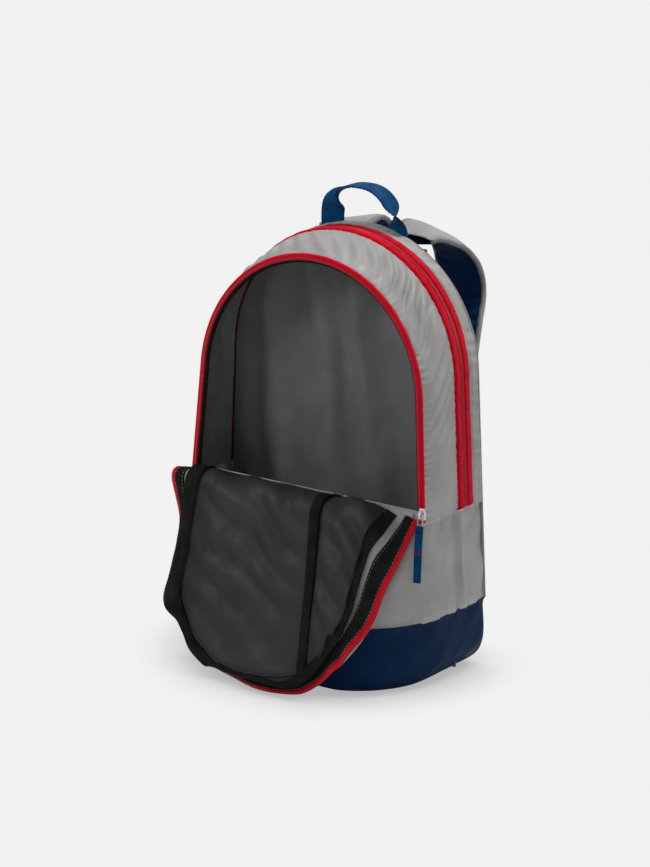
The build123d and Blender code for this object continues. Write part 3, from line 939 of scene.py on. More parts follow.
def make_back_pads():
    """Two blown-up foam pads in breathable mesh, quilted in chevrons, with piping round them."""
    chevron = 0.052
    for side in ("left", "right"):
        low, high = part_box(f"back_pad_{side}")
        centre = (low + high) / 2
        pad = cushion(f"back_pad_mesh_{side}", low, high, MESH)
        for vertex in pad.data.vertices:
            if vertex.co.y < high.y - 0.007:
                continue
            slant = vertex.co.z + 0.45 * abs(vertex.co.x - centre.x)
            groove = math.exp(-(((slant % chevron) - chevron / 2) / 0.0028) ** 2)
            vertex.co.y -= 0.0028 * groove
        settle(soften(pad), "bag", f"back_pad_{side}")
        reach_x = (high.x - low.x) / 2 - 0.002
        reach_z = (high.z - low.z) / 2 - 0.002
        rim = []
        for turn in (2 * math.pi * step / 96 for step in range(97)):
            x = centre.x + reach_x * squared(math.cos(turn), 0.28)
            z = centre.z + reach_z * squared(math.sin(turn), 0.12)
            outward = np.array([math.cos(turn), 0, math.sin(turn)])
            rim.append((np.array([x, low.y + 0.0012, z]), outward, TO_BACK))
        cord_outline = oval(0.0046, 0.0032, 8)
        cord = ribbon(f"back_pad_piping_{side}", rim, cord_outline, BINDING, flip=True, caps=False)
        settle(cord, "bag")


def make_front_zip():
    """Body half of the front zip: red tape, coil turns and the black binding over the raw edge."""
    low = OPENING.lowered(0.001)
    profile = [(-0.0007, -0.0016), (-0.0004, 0.0), (0.0006, 0.0009), (0.0022, 0.0012), (0.0036, 0.001)]
    profile.append((ZIP_WIDTH, -0.0004))
    grid = front_sweep(low, profile)
    cloth("front_zip_tape_cloth", grid, RED_TAPE, 0.001, "bag", "front_zip_body_tape")
    bed = front_sweep(low, [(0.0026, 0.0004), (0.0042, 0.0004), (0.0058, -0.0006)])
    zip_teeth("front_zip_coil", bed, 1, (0.0012, 0.0036, 0.0016), "bag")
    start = ZIP_WIDTH - 0.0006
    end = start + 0.0036
    middle = (start + end) / 2
    path = [(start, -0.0022), (start + 0.0003, -0.0012), (middle, -0.0009), (end, -0.0014)]
    path += [(end + 0.0003, -0.0026), (end, -0.0038), (middle, -0.0042), (start, -0.0036)]
    grid = front_sweep(low, path)
    cloth("front_binding_tape", grid, BINDING, 0, "bag", "front_binding", close_rows=True)
    sew_row("front_binding_stitches", grid, 2, DARK_THREAD, "bag", "black_binding", BINDING_PITCH)


def make_fold_facing():
    """Strip between the two ends of the zip, behind the flap's fold."""
    low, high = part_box("fold_facing")
    rows = np.linspace(SEAM - 0.002 - FOLD[2], high.z - FOLD[2] - 0.0005, 12)
    grid = np.array([[front_plane(x, up, -0.0012) for x in np.linspace(low.x, high.x, 80)] for up in rows])
    along, across = lengths(grid)
    grid = puff(grid, puckers(along, across * 0, 0.012, 0.0005, 1, 71))
    cloth("fold_facing_cloth", grid, GREY, 0.0014, "bag", "fold_facing")


# ---------------------------------------------------------------- flap

FLAP_LENGTH_EASE = 1.03
FLAP_LENGTH = FLAP.crown * FLAP_LENGTH_EASE
FLAP_FROM = 0.003
CREST_AT = float(np.linalg.norm(CREST - FOLD))
CREST_BEND = (
    "flap_root", "flap",
    (0, CREST[1] + 0.008, CREST[2] + 0.002), (0, CREST[1] - 0.008, CREST[2] - 0.016),
)
FOLD_BEND = (
    "bag", "flap_root",
    (0, FOLD[1] + 0.001, FOLD[2] - 0.003), (0, FOLD[1] - 0.006, FOLD[2] + 0.003),
)


def flap_start(side):
    """Direction of the flap at the fold, in degrees from straight down; side runs from -1 to 1."""
    return 92 - 54 * smooth_step(side, 0.66, 0.97) + 20 * smooth_step(-side, 0.5, 0.92)


def flap_root(side):
    """Length of the part that stands forward from the fold, before the flap turns down."""
    return CREST_AT * (0.96 + 0.24 * smooth_step(-side, 0.55, 0.95) + 1.2 * smooth_step(side, 0.74, 0.97))


def flap_hang(side, v):
    """Direction of the hanging part, in degrees from straight down; the left edge first tucks back."""
    left = smooth_step(-side, 0.72, 1.0)
    tuck = smooth_step(v, 0.035, 0.06) * (1 - smooth_step(v, 0.085, 0.115))
    right = smooth_step(side, 0.3, 0.85)
    fall = smooth_step(v, 0.12, 0.18)
    return 14 + (12 - 22 * fall) * right - 2 * smooth_step(-side, 0.3, 1.0) - 30 * left * tuck


def flap_column(x, steps=110):
    """Curve of the flap in the upright plane at x: rows of (distance from the fold, y, z)."""
    side = x / FLAP.half_width
    root = flap_root(side)
    middle = smooth_step(side, -0.9, 0.1) * (1 - smooth_step(side, 0.35, 0.8))
    y, z = FOLD[1], FOLD[2]
    rows = [(0.0, y, z)]
    step = 1.25 * FLAP_LENGTH / steps
    for index in range(steps):
        v = (index + 0.5) * step
        flare = 9 * smooth_step(v, FLAP_LENGTH * 0.6, FLAP_LENGTH) * middle
        belly = 3 * math.sin(math.pi * min(v / FLAP_LENGTH, 1)) * math.sin(2 * math.pi * v / 0.13)
        hang = flap_hang(side, v) + flare + belly
        angle = math.radians(mix(flap_start(side), hang, smooth_step(v, root - 0.011, root + 0.013)))
        y -= math.sin(angle) * step
        z -= math.cos(angle) * step
        rows.append((v + step / 2, y, z))
    return np.array(rows)


class Drape:
    """The flap's middle surface as it hangs at rest."""

    def __init__(self, columns=121):
        self.places = np.linspace(-FLAP.half_width, FLAP.half_width, columns)
        curves = np.array([flap_column(x) for x in self.places])
        self.down = curves[0, :, 0]
        self.y = curves[:, :, 1]
        dip = column(*[OPENING_FOOT * smooth_step(abs(x), 0.09, FLAP.half_width) for x in self.places])
        self.z = curves[:, :, 2] + dip

    def sample(self, values, x, v):
        """Bilinear value at a place across and a distance from the fold."""
        across = (x - self.places[0]) / (self.places[1] - self.places[0])
        across = np.clip(across, 0, len(self.places) - 1.001)
        down = np.clip(v / (self.down[1] - self.down[0]), 0, len(self.down) - 1.001)
        c = across.astype(int)
        r = down.astype(int)
        top = mix(values[c, r], values[c, r + 1], down - r)
        low = mix(values[c + 1, r], values[c + 1, r + 1], down - r)
        return mix(top, low, across - c)

    def points(self, x, v):
        """Points of the surface for arrays of places; it eases off just above the ground."""
        share = np.clip(v / FLAP_LENGTH, 0, 1)
        sway = 0.0050 * np.sin(2 * np.pi * x / 0.15 + 0.6) * share ** 1.5
        sway = sway + 0.0035 * noise_field(x / 0.05, v / 0.09, 81) * np.clip(v / 0.06, 0, 1)
        ground, ease = 0.0025, 0.006
        above = self.sample(self.z, x, v) - ground
        z = ground + np.where(above > ease, above, ease * np.exp(np.minimum(above / ease, 1) - 1))
        return np.stack([x, self.sample(self.y, x, v) - sway, z], -1)

    def normals(self, x, v, step=0.002):
        """Normals on the inner side, which faces forward while the flap hangs."""
        across = self.points(x + step, v) - self.points(x - step, v)
        down = self.points(x, v + step) - self.points(x, v - step)
        normal = np.cross(down, across)
        return normal / np.linalg.norm(normal, axis=-1, keepdims=True)

    def lifted(self, x, v, lift):
        """Points that stand off the surface, towards its inner side."""
        return self.points(x, v) + self.normals(x, v) * lift[..., None]


DRAPE = Drape()


def hem_rise(outline, x, v):
    """Amount by which the flap's hem is drawn up at its sides; the organiser over it hangs level."""
    if outline.crown < FLAP.crown:
        return 0.0
    left = np.clip(0.35 - x / 0.16, 0, 1)
    low = np.clip((v - 0.12) / 0.12, 0, 1)
    right = np.clip((x / FLAP.half_width - 0.62) / 0.35, 0, 1)
    high = np.clip(v / 0.08, 0, 1)
    return 0.017 * left * low * low * (3 - 2 * low) + 0.016 * high * right * right * (3 - 2 * right)


def flap_fill(outline, start, rows, columns):
    """Arrays (x, v) that fill a flap outline from a distance below the fold to its edge."""
    x, up = np.moveaxis(arch_fill(outline, rows, columns, start / FLAP_LENGTH_EASE), 2, 0)
    v = up * FLAP_LENGTH_EASE
    return x, v - hem_rise(outline, x, v)


def flap_edge(outline, insets, count=300, start=0.0):
    """Arrays (x, v) that follow a flap outline, one row for each inset."""
    low = Arch(outline.half_width, start, outline.crown, outline.radius)
    x, up, across, rise = np.transpose([low.at(share) for share in np.linspace(0, 1, count)])
    insets = column(*insets)
    x = x - across * insets
    v = (up - rise * insets) * FLAP_LENGTH_EASE
    return x, v - hem_rise(outline, x, v)


def make_flap_fabric():
    """Grey outer fabric with its paler inner face."""
    outline = FLAP.inset(0.003)
    x, v = flap_fill(outline, FLAP_FROM, 120, 110)
    edge = edge_distance(outline, x, v / FLAP_LENGTH_EASE)
    amount = puckers(x + v, edge, 0.008, 0.0008, 0.012, 91)
    amount += 0.0012 * noise_field(x / 0.03, v / 0.05, 92) * np.clip(edge / 0.02, 0, 1)
    grid = puff(DRAPE.points(x, v), amount)
    nodes = ("flap_panel", "flap_root_panel")
    cloth("flap_fabric", grid, GREY, THICK_FABRIC, CREST_BEND, *nodes, lining=FLAP_INSIDE)


def make_flap_fold():
    """Short strip that joins the flap to the bag and bends at the fold."""
    x = np.linspace(-0.136, 0.136, 80)
    rows = []
    for share in np.linspace(0, 1, 9):
        if share < 0.5:
            rows.append([front_plane(place, -0.006 + 0.012 * share, 0.0005) for place in x])
        else:
            rows.append(DRAPE.points(x, np.full_like(x, 0.02 * (share - 0.5) + 0.0005)))
    cloth("flap_fold_strip", np.array(rows), GREY, THICK_FABRIC, FOLD_BEND)


def make_flap_zip():
    """Red zip edge of the flap with its coil turns, and the bound black tape inside it."""
    band = 0.0044
    x, v = flap_edge(FLAP, [-0.0004, 0.0006, 0.0022, 0.0036, band, band + 0.0005])
    grid = DRAPE.lifted(x, v, column(-0.0008, 0.0009, 0.0016, 0.0017, 0.0011, -0.0006))
    nodes = ("flap_zip_edge", "flap_root_zip_edge")
    cloth("flap_zip_edge_cloth", grid, RED_TAPE, 0.0016, CREST_BEND, *nodes, flip=True)

    bed = DRAPE.lifted(*flap_edge(FLAP, [-0.0012, 0.0008, 0.0024]), column(0.0, 0.0008, 0.0016))
    zip_teeth("flap_zip_coil", bed, 1, (0.0012, 0.0034, 0.0015), CREST_BEND, flip=True)

    width = 0.0115
    insets = [band - 0.0004, band + 0.0008, band + width * 0.5, band + width - 0.001, band + width]
    x, v = flap_edge(FLAP, insets)
    lift = column(0.0008, 0.002, 0.0022, 0.002, 0.0006) + 0.0005 * noise_field(x / 0.012, v / 0.012, 95)
    grid = DRAPE.lifted(x, v, lift)
    cloth("flap_bound_tape", grid, BINDING, TAPE, CREST_BEND, "flap_tape", "flap_root_tape", flip=True)
    for name, row in (("outer", 1), ("inner", 3)):
        place = (CREST_BEND, "grey_binding", 0.0042, 0.0022)
        sew_row(f"flap_tape_stitches_{name}", grid, row, GREY_THREAD, *place, flip=True)


# ---------------------------------------------------------------- organiser

ORGANISER_FROM = 0.006
ORGANISER_START = ORGANISER_FROM / FLAP_LENGTH_EASE
ORGANISER = Arch(0.1175, ORGANISER_START, 0.240, 0.115)
ORGANISER_EDGE = 0.0115
STRIPS = ((-0.1045, 0.0045, 0.004), (0.044, 0.0115, 0.027))


def organiser_share(v):
    """How far down the organiser a point lies, from 0 at its seam to 1."""
    return np.clip((v - ORGANISER_FROM - 0.02) / 0.19, 0, 1)


def organiser_points(x, v, lift):
    """Points on the organiser; it swings to the left, droops there and stands away from the flap."""
    share = organiser_share(v)
    left = np.clip(0.5 - x / 0.24, 0, 1)
    stand = 0.002 + 0.022 * share ** 1.2 * left
    corner = 0.036 * np.clip(-x / ORGANISER.half_width, 0, 1.02) ** 7 * np.clip(v / 0.13, 0, 1)
    droop = corner - 0.06 * np.clip(x, 0, 1) * share
    lift = lift * np.clip(0.2 + (v - ORGANISER_FROM) / 0.02, 0.2, 1)
    return DRAPE.lifted(x - 0.004 * share, v + droop, lift + stand * share)


def pocket_lift(x, v, low, high):
    """Fullness of a pocket between two upright strips, with folds that run down from its top corner."""
    across = np.clip((x - low) / (high - low), 0, 1)
    down = np.clip((v - ORGANISER_FROM) / 0.18, 0, 1)
    belly = np.sin(math.pi * np.clip(down * 1.05, 0, 1)) ** 0.8
    full = np.sin(math.pi * across) ** 0.7 * (0.25 + 0.75 * belly)
    run = v * 0.9 - x * 0.6
    folds = np.sin(2 * math.pi * run / 0.034 + 3.0 * noise_field(x / 0.05, v / 0.06, 101))
    return full * (0.0056 + 0.0030 * folds + 0.0036 * noise_field(x / 0.024, v / 0.035, 102))


def make_organiser_backing():
    """Black backing that the pockets are sewn to."""
    x, v = flap_fill(ORGANISER, ORGANISER_FROM, 70, 90)
    grid = organiser_points(x, v, 0.0030 + 0.0006 * noise_field(x / 0.03, v / 0.04, 103))
    cloth("organiser_backing_cloth", grid, BLACK, THIN_FABRIC, CREST_BEND, "organiser_backing", flip=True)


def make_pocket(name, low, high, rise, node, seed):
    """One pocket panel between two places across, down to a seam that rises off the organiser's edge."""
    inner = ORGANISER.inset(ORGANISER_EDGE - 0.002)
    rows, columns = 90, 70
    x = np.zeros((rows, columns))
    v = np.zeros((rows, columns))
    for place, share in enumerate(np.linspace(0, 1, columns)):
        top_x = mix(low, min(high, inner.width_at(ORGANISER_START)), share)
        foot_x = mix(low, min(high, inner.spring_x), share)
        bottom = inner.height_at(foot_x) - rise
        for row, up in enumerate(mix(ORGANISER_START, bottom, np.linspace(0, 1, rows))):
            part = (up - ORGANISER_START) / (inner.spring_y - ORGANISER_START)
            x[row, place] = mix(top_x, foot_x, min(part, 1))
            v[row, place] = up * FLAP_LENGTH_EASE
    slack = 0.0035 * np.sin(math.pi * (x - low) / (high - low))
    droop = slack * np.clip(1 - (v - ORGANISER_FROM) / 0.03, 0, 1)
    lift = 0.0042 + pocket_lift(x, v, low, min(high, 0.12))
    lift += 0.0008 * noise_field(x / 0.014, v / 0.02, seed)
    strip, _, strip_lean = STRIPS[1]
    lean = strip_lean * organiser_share(v) * np.clip(1 - np.abs(x - strip) / 0.075, 0, 1)
    grid = organiser_points(x + lean, v + droop, lift)
    cloth(name, grid, BLACK, THIN_FABRIC, CREST_BEND, node, flip=True)
    for tag, row in (("hem", 2), ("foot", -2)):
        normals = surface_normals(grid, True)[row]
        line = grid[row] + normals * 0.0006
        sew(f"{name}_{tag}_stitches", line, normals, DARK_THREAD, CREST_BEND, "black_nylon", 0.0038)


def make_organiser_binding():
    """Grosgrain round the organiser's curved edge, folded over it."""
    wide = ORGANISER_EDGE
    insets = [wide, wide - 0.0006, wide * 0.5, 0.0008, -0.0006, 0.0004, wide * 0.5]
    x, v = flap_edge(ORGANISER, insets, 220, ORGANISER_START)
    lift = column(0.0036, 0.0058, 0.0064, 0.006, 0.004, 0.0022, 0.002)
    grid = organiser_points(x, v, lift + 0.0005 * noise_field(x / 0.012, v / 0.012, 104))
    cloth("organiser_edge_tape", grid, BINDING, TAPE, CREST_BEND, "organiser_edge_binding", flip=True)
    for name, row in (("inner", 1), ("outer", 3)):
        place = (CREST_BEND, "black_binding", BINDING_PITCH)
        sew_row(f"organiser_edge_stitches_{name}", grid, row, DARK_THREAD, *place, flip=True)


def make_pocket_strips():
    """Hem of the large pocket's open side, and the tape between the two pockets."""
    nodes = (("pocket_binding_strips",), ())
    for name, (centre, width, lean), stands_for in zip(("pocket_strip_1", "pocket_strip_2"), STRIPS, nodes):
        widest = max(abs(centre), abs(centre + lean)) + width / 2
        bottom = ORGANISER.inset(0.003).height_at(widest) * FLAP_LENGTH_EASE
        v = np.linspace(ORGANISER_FROM - 0.003, bottom, 90)
        x = centre + column(-0.5, -0.47, -0.2, 0.2, 0.47, 0.5) * width + lean * organiser_share(v)
        v = np.tile(v, (len(x), 1))
        lift = column(0.0046, 0.0062, 0.0068, 0.0068, 0.0064, 0.0054)
        grid = organiser_points(x, v, lift + 0.0007 * noise_field(x / 0.02, v / 0.02, 105))
        cloth(name, grid, BINDING, THIN_FABRIC, CREST_BEND, *stands_for)
        for row in (1, 4):
            place = (CREST_BEND, "black_binding", BINDING_PITCH)
            sew_row(f"{name}_stitches_{row}", grid, row, DARK_THREAD, *place)


def make_organiser():
    """Backing, both pockets, their tapes and the edge binding."""
    make_organiser_backing()
    (first, first_width, _), (second, second_width, _) = STRIPS
    start = first + first_width / 2
    end = second - second_width / 2 + 0.001
    make_pocket("large_pocket_cloth", start, end, 0.016, "large_pocket", 106)
    make_pocket("small_pocket_cloth", second + second_width / 2 + 0.003, 0.2, 0.009, "small_pocket", 107)
    make_organiser_binding()
    make_pocket_strips()


# ---------------------------------------------------------------- handle, straps and pullers

def make_handle():
    """Haul loop: flat in the back seam, turned face-up where the hand holds it."""
    low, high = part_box("haul_handle")
    half = (high.x - low.x) / 2 - 0.0045
    foot = CROWN - 0.010
    rise = high.z - 0.0016 - foot
    width = 0.027
    count = 120
    path = []
    for step in range(count + 1):
        turn = math.pi * (1 - step / count)
        x = half * squared(math.cos(turn), 0.82) - 0.004 * math.sin(turn)
        z = foot + rise * math.sin(turn) ** 0.86 if 0 < step < count else foot
        path.append(np.array([x, (low.y + high.y) / 2 + 0.002 * math.sin(2 * turn), z]))
    path, tangent = resample(path, 0.0014)
    frames = []
    for share, point, along in zip(np.linspace(0, 1, len(path)), path, tangent):
        left_twist = 1 - smooth_step(share, 0.16, 0.34)
        right_twist = 1 - smooth_step(1 - share, 0.03, 0.24)
        angle = math.radians(100 * left_twist - 88 * right_twist)
        up = -np.cross(along, TO_BACK)
        up /= np.linalg.norm(up)
        turned = np.cross(up, along) * math.cos(angle) + up * math.sin(angle)
        frames.append((point, turned, np.cross(along, turned)))
    loop = ribbon("haul_handle_webbing", frames, oval(width, 0.0024, 16, 0.45), NAVY_WEBBING)
    settle(soften(loop), "handle", "haul_handle")
    faces = [face for _, _, face in frames]
    for name, side in (("front", -1), ("rear", 1)):
        line = [point + across * side * width * 0.41 + face * 0.0012 for point, across, face in frames]
        sew(f"haul_handle_stitches_{name}", line, faces, NAVY_THREAD, "handle", "navy_webbing", 0.0042)


STRAP_SIDE = (
    (0.030, 0.427), (0.050, 0.436), (0.078, 0.438), (0.104, 0.426), (0.119, 0.401), (0.118, 0.375),
    (0.103, 0.342), (0.084, 0.300), (0.066, 0.245), (0.052, 0.185), (0.043, 0.130), (0.034, 0.075),
)
STRAP_ROOT = (0.042, 0.446)
STRAP_TOP = (0.055, 0.412)
STRAP_LEAN = 0.157
STRAP_HINGE_Z = 0.424
STRAP_HALF = 0.030
STRAP_THICK = 0.010
PAD_FROM, PAD_TO, WEB_TO = 0.020, 0.342, 0.436


def smooth_curve(knots):
    """Catmull-Rom curve through knots."""
    knots = np.asarray(knots, float)
    ends = np.vstack([2 * knots[0] - knots[1], knots, 2 * knots[-1] - knots[-2]])
    points = []
    for a, b, c, d in zip(ends, ends[1:], ends[2:], ends[3:]):
        for t in np.linspace(0, 1, 40, endpoint=False):
            square = (2 * a - 5 * b + 4 * c - d) * t ** 2
            points.append(0.5 * (2 * b + (c - a) * t + square + (3 * b - a - 3 * c + d) * t ** 3))
    return np.array(points + [knots[-1]])


STRAP_KNOTS = smooth_curve(STRAP_SIDE)
STRAP_PLACES = np.linspace(0, distances(STRAP_KNOTS)[-1], 500)
STRAP_CURVE = at_places(STRAP_KNOTS, STRAP_PLACES)


def strap_centre(s, side):
    """Centre, across and outward directions of a strap at a distance along it; side is 1 right, -1 left."""
    y, z, y2, z2 = (np.interp(at, STRAP_PLACES, line) for at in (s, s + 0.002) for line in STRAP_CURVE.T)
    root_lean = (STRAP_TOP[0] - STRAP_ROOT[0]) / (STRAP_ROOT[1] - STRAP_TOP[1])
    x = STRAP_TOP[0] + STRAP_LEAN * max(STRAP_TOP[1] - z, 0) - root_lean * max(z - STRAP_TOP[1], 0)
    normal = np.array([0, -(z2 - z), y2 - y]) / math.hypot(y2 - y, z2 - z)
    return np.array([side * x, y, z]), np.array([side * 1.0, 0, 0]), normal


def strap_point(s, side, place, edge):
    """Point across a strap, with its directions; place is -1 and 1 at an edge's width inside the pad."""
    centre, sideways, outward = strap_centre(s, side)
    top = 0.004 * (1 - smooth_step(s, PAD_FROM, PAD_FROM + 0.02))
    half = mix(STRAP_HALF, 0.017, smooth_step(s, PAD_TO - 0.06, PAD_TO)) - top - edge
    tilt = 0.3 * smooth_step(s, 0.02, 0.06) * (1 - smooth_step(s, 0.10, 0.2))
    return centre + sideways * half * place + np.array([0, 0, -tilt * half * place]), sideways, outward


def strap_sheet(side, face):
    """Grid of one cover; face is 1 for the outer and -1 for the inner cover."""
    rows = []
    for s in np.linspace(PAD_FROM, PAD_TO, 150):
        row = []
        for place in np.linspace(-1, 1, 26):
            point, _, outward = strap_point(s, side, place, 0.0028)
            row.append(point + outward * STRAP_THICK / 2 * (1 - 0.62 * abs(place) ** 4) * face)
        rows.append(row)
    return np.array(rows)


def strap_bend(name):
    """Hold for the top of a strap: the bag, the swinging strap and two points at its hinge."""
    return "bag", f"strap_{name}", (0, BACK + 0.001, STRAP_HINGE_Z), (0, BACK + 0.03, STRAP_HINGE_Z)


def outer_relief(across, along, edge):
    """Relief of a strap's outer cover: soft, with puckers at its edges."""
    soft = 0.0009 * noise_field(across / 0.03, along / 0.035, 111)
    return soft + puckers(along, edge, 0.009, 0.0007, 0.009, 112)


def inner_relief(across, along, edge):
    """Relief of a strap's inner cover: fine ridges across it, flatter in the middle."""
    bend = 2.5 * noise_field(along / 0.03, across / 0.03, 113)
    ridges = np.sin(2 * math.pi * (along + 0.2 * across) / 0.0115 + bend)
    ridges = 0.0012 * ridges * (1 - 0.4 * np.clip(edge / 0.02, 0, 1))
    return ridges + 0.0008 * noise_field(across / 0.02, along / 0.03, 114)


def make_strap_covers(name, side):
    """Outer and inner cover of one strap; the outer one also stands for the foam core."""
    outer_nodes = (f"strap_outer_cover_{name}", f"strap_foam_{name}")
    inner_nodes = (f"strap_inner_cover_{name}",)
    outer = ("outer", 1, outer_relief, GREY, outer_nodes)
    inner = ("inner", -1, inner_relief, NAVY_LINING, inner_nodes)
    for cover, face, relief, material, nodes in (outer, inner):
        grid = strap_sheet(side, face)
        across, along = lengths(grid)
        edge = np.minimum(across, across[:, -1:] - across)
        flip = side * face < 0
        grid = puff(grid, relief(across, along, edge), flip)
        cloth(f"strap_{cover}_cloth_{name}", grid, material, FABRIC, strap_bend(name), *nodes, flip=flip)


def make_strap_edge(name, side):
    """Binding round the edge of one strap, and the stitches beside it."""
    hold = strap_bend(name)
    outline = [(s, 1) for s in np.linspace(PAD_FROM, PAD_TO, 150)]
    outline += [(PAD_TO, place) for place in np.linspace(1, -1, 14)[1:-1]]
    outline += [(s, -1) for s in np.linspace(PAD_TO, PAD_FROM, 150)]
    frames = []
    for s, place in outline:
        point, sideways, outward = strap_point(s, side, place, 0.0014)
        out = sideways * place
        if s == PAD_TO:
            along = strap_centre(s, side)[0] - strap_centre(s - 0.002, side)[0]
            out = out * abs(place) + along / np.linalg.norm(along) * math.sqrt(max(1 - place * place, 0))
        frames.append((point, out / np.linalg.norm(out), outward))
    outline = oval(0.0058, 0.0056, 12, 0.75)
    binding = ribbon(f"strap_edge_tape_{name}", frames, outline, GREY_BINDING, flip=side < 0)
    settle(soften(binding), hold, f"strap_binding_{name}")
    for face, cover, thread in ((1, "outer", GREY_THREAD), (-1, "inner", NAVY_THREAD)):
        for place, row in ((-1, "b"), (1, "a")):
            line = []
            normals = []
            for s in np.linspace(PAD_FROM + 0.004, PAD_TO, 130):
                point, _, outward = strap_point(s, side, place, 0.0042)
                line.append(point + outward * face * 0.0028)
                normals.append(outward * face)
            sew(f"strap_stitches_{cover}_{row}_{name}", line, normals, thread, hold, "grey_binding", 0.0038)


def make_strap_webbing(name, side):
    """Adjuster webbing from the pad's end down to the lower anchor, and its loose tail."""
    frames = [strap_centre(s, side) for s in np.linspace(PAD_TO - 0.012, WEB_TO, 90)]
    web = ribbon(f"strap_web_{name}", frames, oval(0.020, 0.0017, 14, 0.45), BLACK_WEBBING, flip=side < 0)
    settle(soften(web), f"strap_{name}", f"strap_webbing_{name}")
    tail = []
    for part in np.linspace(0, 1, 50):
        centre, sideways, outward = strap_centre(PAD_TO + 0.022 + 0.062 * part, side)
        lift = 0.006 + 0.006 * math.sin(math.pi * min(part * 1.1, 1))
        tail.append((centre + outward * lift, sideways, outward))
    loose = ribbon(f"strap_tail_{name}", tail, oval(0.020, 0.0016, 14, 0.45), BLACK_WEBBING, flip=side < 0)
    settle(soften(loose), f"strap_{name}")


def make_yoke(name):
    """Sewn patch that holds the strap's top to the back, with a box stitch."""
    low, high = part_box(f"strap_yoke_{name}")
    columns = np.linspace(low.x, high.x, 40)
    grid = np.array([[(x, high.y - 0.0006, z) for x in columns] for z in np.linspace(low.z, high.z, 18)])
    x, _, z = np.moveaxis(grid, 2, 0)
    edge = np.minimum(np.minimum(x - low.x, high.x - x), np.minimum(z - low.z, high.z - z))
    grid[:, :, 1] += 0.0004 * noise_field(x / 0.01, z / 0.01, 121) - 0.0016 * np.exp(-edge / 0.0012)
    node = f"strap_yoke_{name}"
    cloth(f"strap_yoke_cloth_{name}", grid, NAVY, THICK_FABRIC, "bag", node, offset=-1, flip=True)
    inset = 0.003
    left, right, foot, top = low.x + inset, high.x - inset, low.z + inset, high.z - inset
    corners = ((left, foot), (right, foot), (right, top), (left, top), (left, foot))
    line = [(x, high.y + 0.0001, z) for x, z in corners]
    place = ("bag", "grey_binding", BINDING_PITCH)
    sew(f"strap_yoke_stitches_{name}", line, [TO_BACK] * len(line), GREY_THREAD, *place)


def make_anchor(name, side):
    """Folded fabric triangle that takes the webbing's lower end."""
    low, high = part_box(f"lower_anchor_{name}")
    inner, outer = (low.x, high.x) if side > 0 else (high.x, low.x)
    middle = (low.z + high.z) / 2
    height = high.z - low.z
    rows = []
    for across in np.linspace(0, 1, 24):
        x = mix(inner + side * 0.001, outer, across)
        half = mix(height * 0.36, height / 2, across)
        row = []
        for place in np.linspace(-1, 1, 20):
            y = high.y - 0.0007 + 0.0005 * math.sin(7 * place + 9 * across)
            row.append((x, y, middle + half * place))
        rows.append(row)
    grid = np.array(rows)
    node = f"lower_anchor_{name}"
    cloth(f"lower_anchor_cloth_{name}", grid, NAVY, 0.0018, "bag", node, flip=side < 0)
    for row in (3, 20):
        line = grid[row] + TO_BACK * 0.0012
        stitch_name = f"lower_anchor_stitches_{row}_{name}"
        sew(stitch_name, line, [TO_BACK] * len(line), GREY_THREAD, "bag", "grey_binding", 0.0034)


def make_puller(name):
    """Webbing tab folded through the wire loop and sewn, with rounded end."""
    body = f"{name}_puller"
    tab = frame["nodes"][f"{body}_tab"]
    points = np.array([vertex.co for vertex in tab.data.vertices])
    centre = points.mean(0)
    spread = points - centre
    _, _, axes = np.linalg.svd(spread, full_matrices=False)
    along = axes[0] * (-1 if axes[0][2] > 0 else 1)
    across = axes[1]
    face = np.cross(across, along)
    outward = np.array([centre[0], centre[1], 0]) if name == "main" else -TO_BACK
    if face @ outward < 0:
        across = -across
        face = -face
    start, end = (spread @ along).min(), (spread @ along).max()
    width = np.ptp(spread @ across)
    thickness = np.ptp(spread @ face)
    frames = []
    for s in np.linspace(start - 0.0002, end, 60):
        part = (s - start) / (end - start)
        sway = face * 0.0006 * math.sin(5 * part)
        taper = 1 - 0.18 * math.exp(-part / 0.03)
        frames.append((centre + along * s + sway, across * taper, face))
    web = ribbon(f"{body}_web", frames, oval(width, thickness * 0.92, 16, 0.4), NAVY_WEBBING)
    settle(soften(web), body, f"{body}_tab")
    for side, row in ((-1, "b"), (1, "a")):
        offset = across * side * width * 0.36 + face * thickness * 0.47
        line = [point + offset for point, _, _ in frames[3:-3]]
        size = (0.0034, 0.0022)
        sew(f"{body}_stitches_{row}", line, [face] * len(line), NAVY_THREAD, body, "navy_webbing", *size)
    for place, tag, thread in ((7, "bar_12", NAVY_THREAD), (29, "bar_50", RED_THREAD)):
        middle = frames[place][0] + face * thickness * 0.5
        line = [middle + across * width * share for share in np.linspace(-0.36, 0.36, 8)]
        sew(f"{body}_{tag}", line, [face] * 8, thread, body, "navy_webbing", 0.0011, 0.001, 0.0016)


def paint_nodes():
    """Materials of the CAD nodes that stay in view."""
    metal = ("front_slider", "main_slider", "front_puller_ring", "main_puller_ring")
    for name in metal + ("ladder_lock_left", "ladder_lock_right"):
        materials = frame["nodes"][name].data.materials
        materials.clear()
        materials.append(METAL if name in metal else PLASTIC)


# ---------------------------------------------------------------- studio

BACKDROP = (242, 242, 242)


def seen_and_lit(tree, lit, seen, output):
    """The camera sees one shader and every other ray meets another."""
    ray = add_node(tree, "LightPath").outputs["Is Camera Ray"]
    choose = add_node(tree, "MixShader", {"Fac": ray, 1: lit, 2: seen})
    feed(tree, tree.nodes[output], {"Surface": choose.outputs["Shader"]})


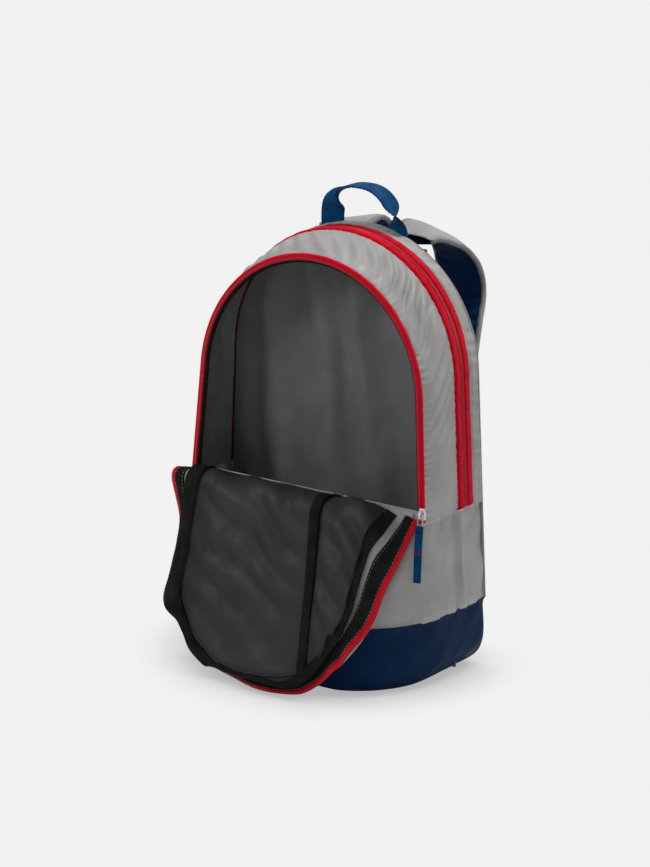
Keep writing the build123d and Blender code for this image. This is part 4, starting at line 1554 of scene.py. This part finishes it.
def make_floor():
    """Pale seamless floor: as light as the background, with a soft painted shadow, from ambient occlusion,
    only where the bag stands.
    """
    rows = np.linspace(-6, 6, 13)
    grid = np.array([[(x, y, 0.0) for x in rows] for y in rows])
    paint = Paint("studio_floor", 0.9)
    shade = paint.node("AmbientOcclusion", {"Distance": 0.07}, samples=12).outputs["AO"]
    # painted contact shadow: ambient occlusion darkens the camera's view of the floor near the bag
    floor_with_painted_shadow = paint.ramp(shade, linear(176, 176, 178), linear(*BACKDROP), 0.25, 0.95)
    glow = paint.node("Emission", {"Color": floor_with_painted_shadow})
    pale = paint.ramp(paint.noise(3, 2), linear(222, 222, 222), linear(228, 228, 228))
    paint.surface({"Base Color": pale})
    lit = paint.tree.nodes["Principled BSDF"].outputs["BSDF"]
    seen_and_lit(paint.tree, lit, glow.outputs["Emission"], "Material Output")
    sheet("studio_floor", grid, paint.material)


def add_light(name, place, height, size, power):
    """Square area light aimed at a height above the middle of the floor."""
    data = bpy.data.lights.new(name, "AREA")
    data.shape = "SQUARE"
    data.size = size
    data.energy = power
    light = add_object(name, data)
    light.location = place
    light.rotation_euler = (Vector((0, 0, height)) - Vector(place)).to_track_quat("-Z", "Y").to_euler()


def make_studio():
    """Soft light all round, with a large key above and a fill from the side."""
    world = bpy.data.worlds.new("studio_world")
    bpy.context.scene.world = world
    world.use_nodes = True
    tree = world.node_tree
    seen = tree.nodes["Background"]
    feed(tree, seen, {"Color": linear(*BACKDROP)})
    fill = add_node(tree, "Background", {"Color": linear(240, 243, 246), "Strength": 0.42})
    seen_and_lit(tree, fill.outputs["Background"], seen.outputs["Background"], "World Output")
    add_light("key", (-1.3, -1.5, 1.7), 0.25, 0.8, 22)
    add_light("side", (1.9, -0.6, 0.9), 0.2, 0.5, 1.5)
    add_light("top", (0.35, 0.75, 1.9), 0.3, 0.55, 26)
    bpy.context.scene.view_settings.view_transform = "Standard"


def make_camera():
    """Long lens at the front right, a little above the bag."""
    turn = math.radians(36)
    tilt = math.radians(16.1)
    shift = -0.0244
    aim = Vector((shift * math.cos(turn), shift * math.sin(turn), 0.2304))
    back = Vector((math.sin(turn) * math.cos(tilt), -math.cos(turn) * math.cos(tilt), math.sin(tilt)))
    data = bpy.data.cameras.new("studio_camera")
    data.lens = 124.6
    data.sensor_width = 36
    data.clip_end = 50
    camera = add_object("studio_camera", data)
    camera.location = aim + back * 3.139
    camera.rotation_euler = (-back).to_track_quat("-Z", "Y").to_euler()
    bpy.context.scene.camera = camera


make_base()
make_lower_panels()
make_front_gusset()
make_main_zip()
make_rear_gusset()
make_back()
make_divider()
make_back_pads()
make_front_zip()
make_fold_facing()
make_flap_fabric()
make_flap_fold()
make_flap_zip()
make_organiser()
make_handle()
for strap_name, strap_side in (("right", 1), ("left", -1)):
    make_strap_covers(strap_name, strap_side)
    make_strap_edge(strap_name, strap_side)
    make_strap_webbing(strap_name, strap_side)
    make_yoke(strap_name)
    make_anchor(strap_name, strap_side)
make_puller("front")
make_puller("main")
paint_nodes()
make_floor()
make_studio()
make_camera()
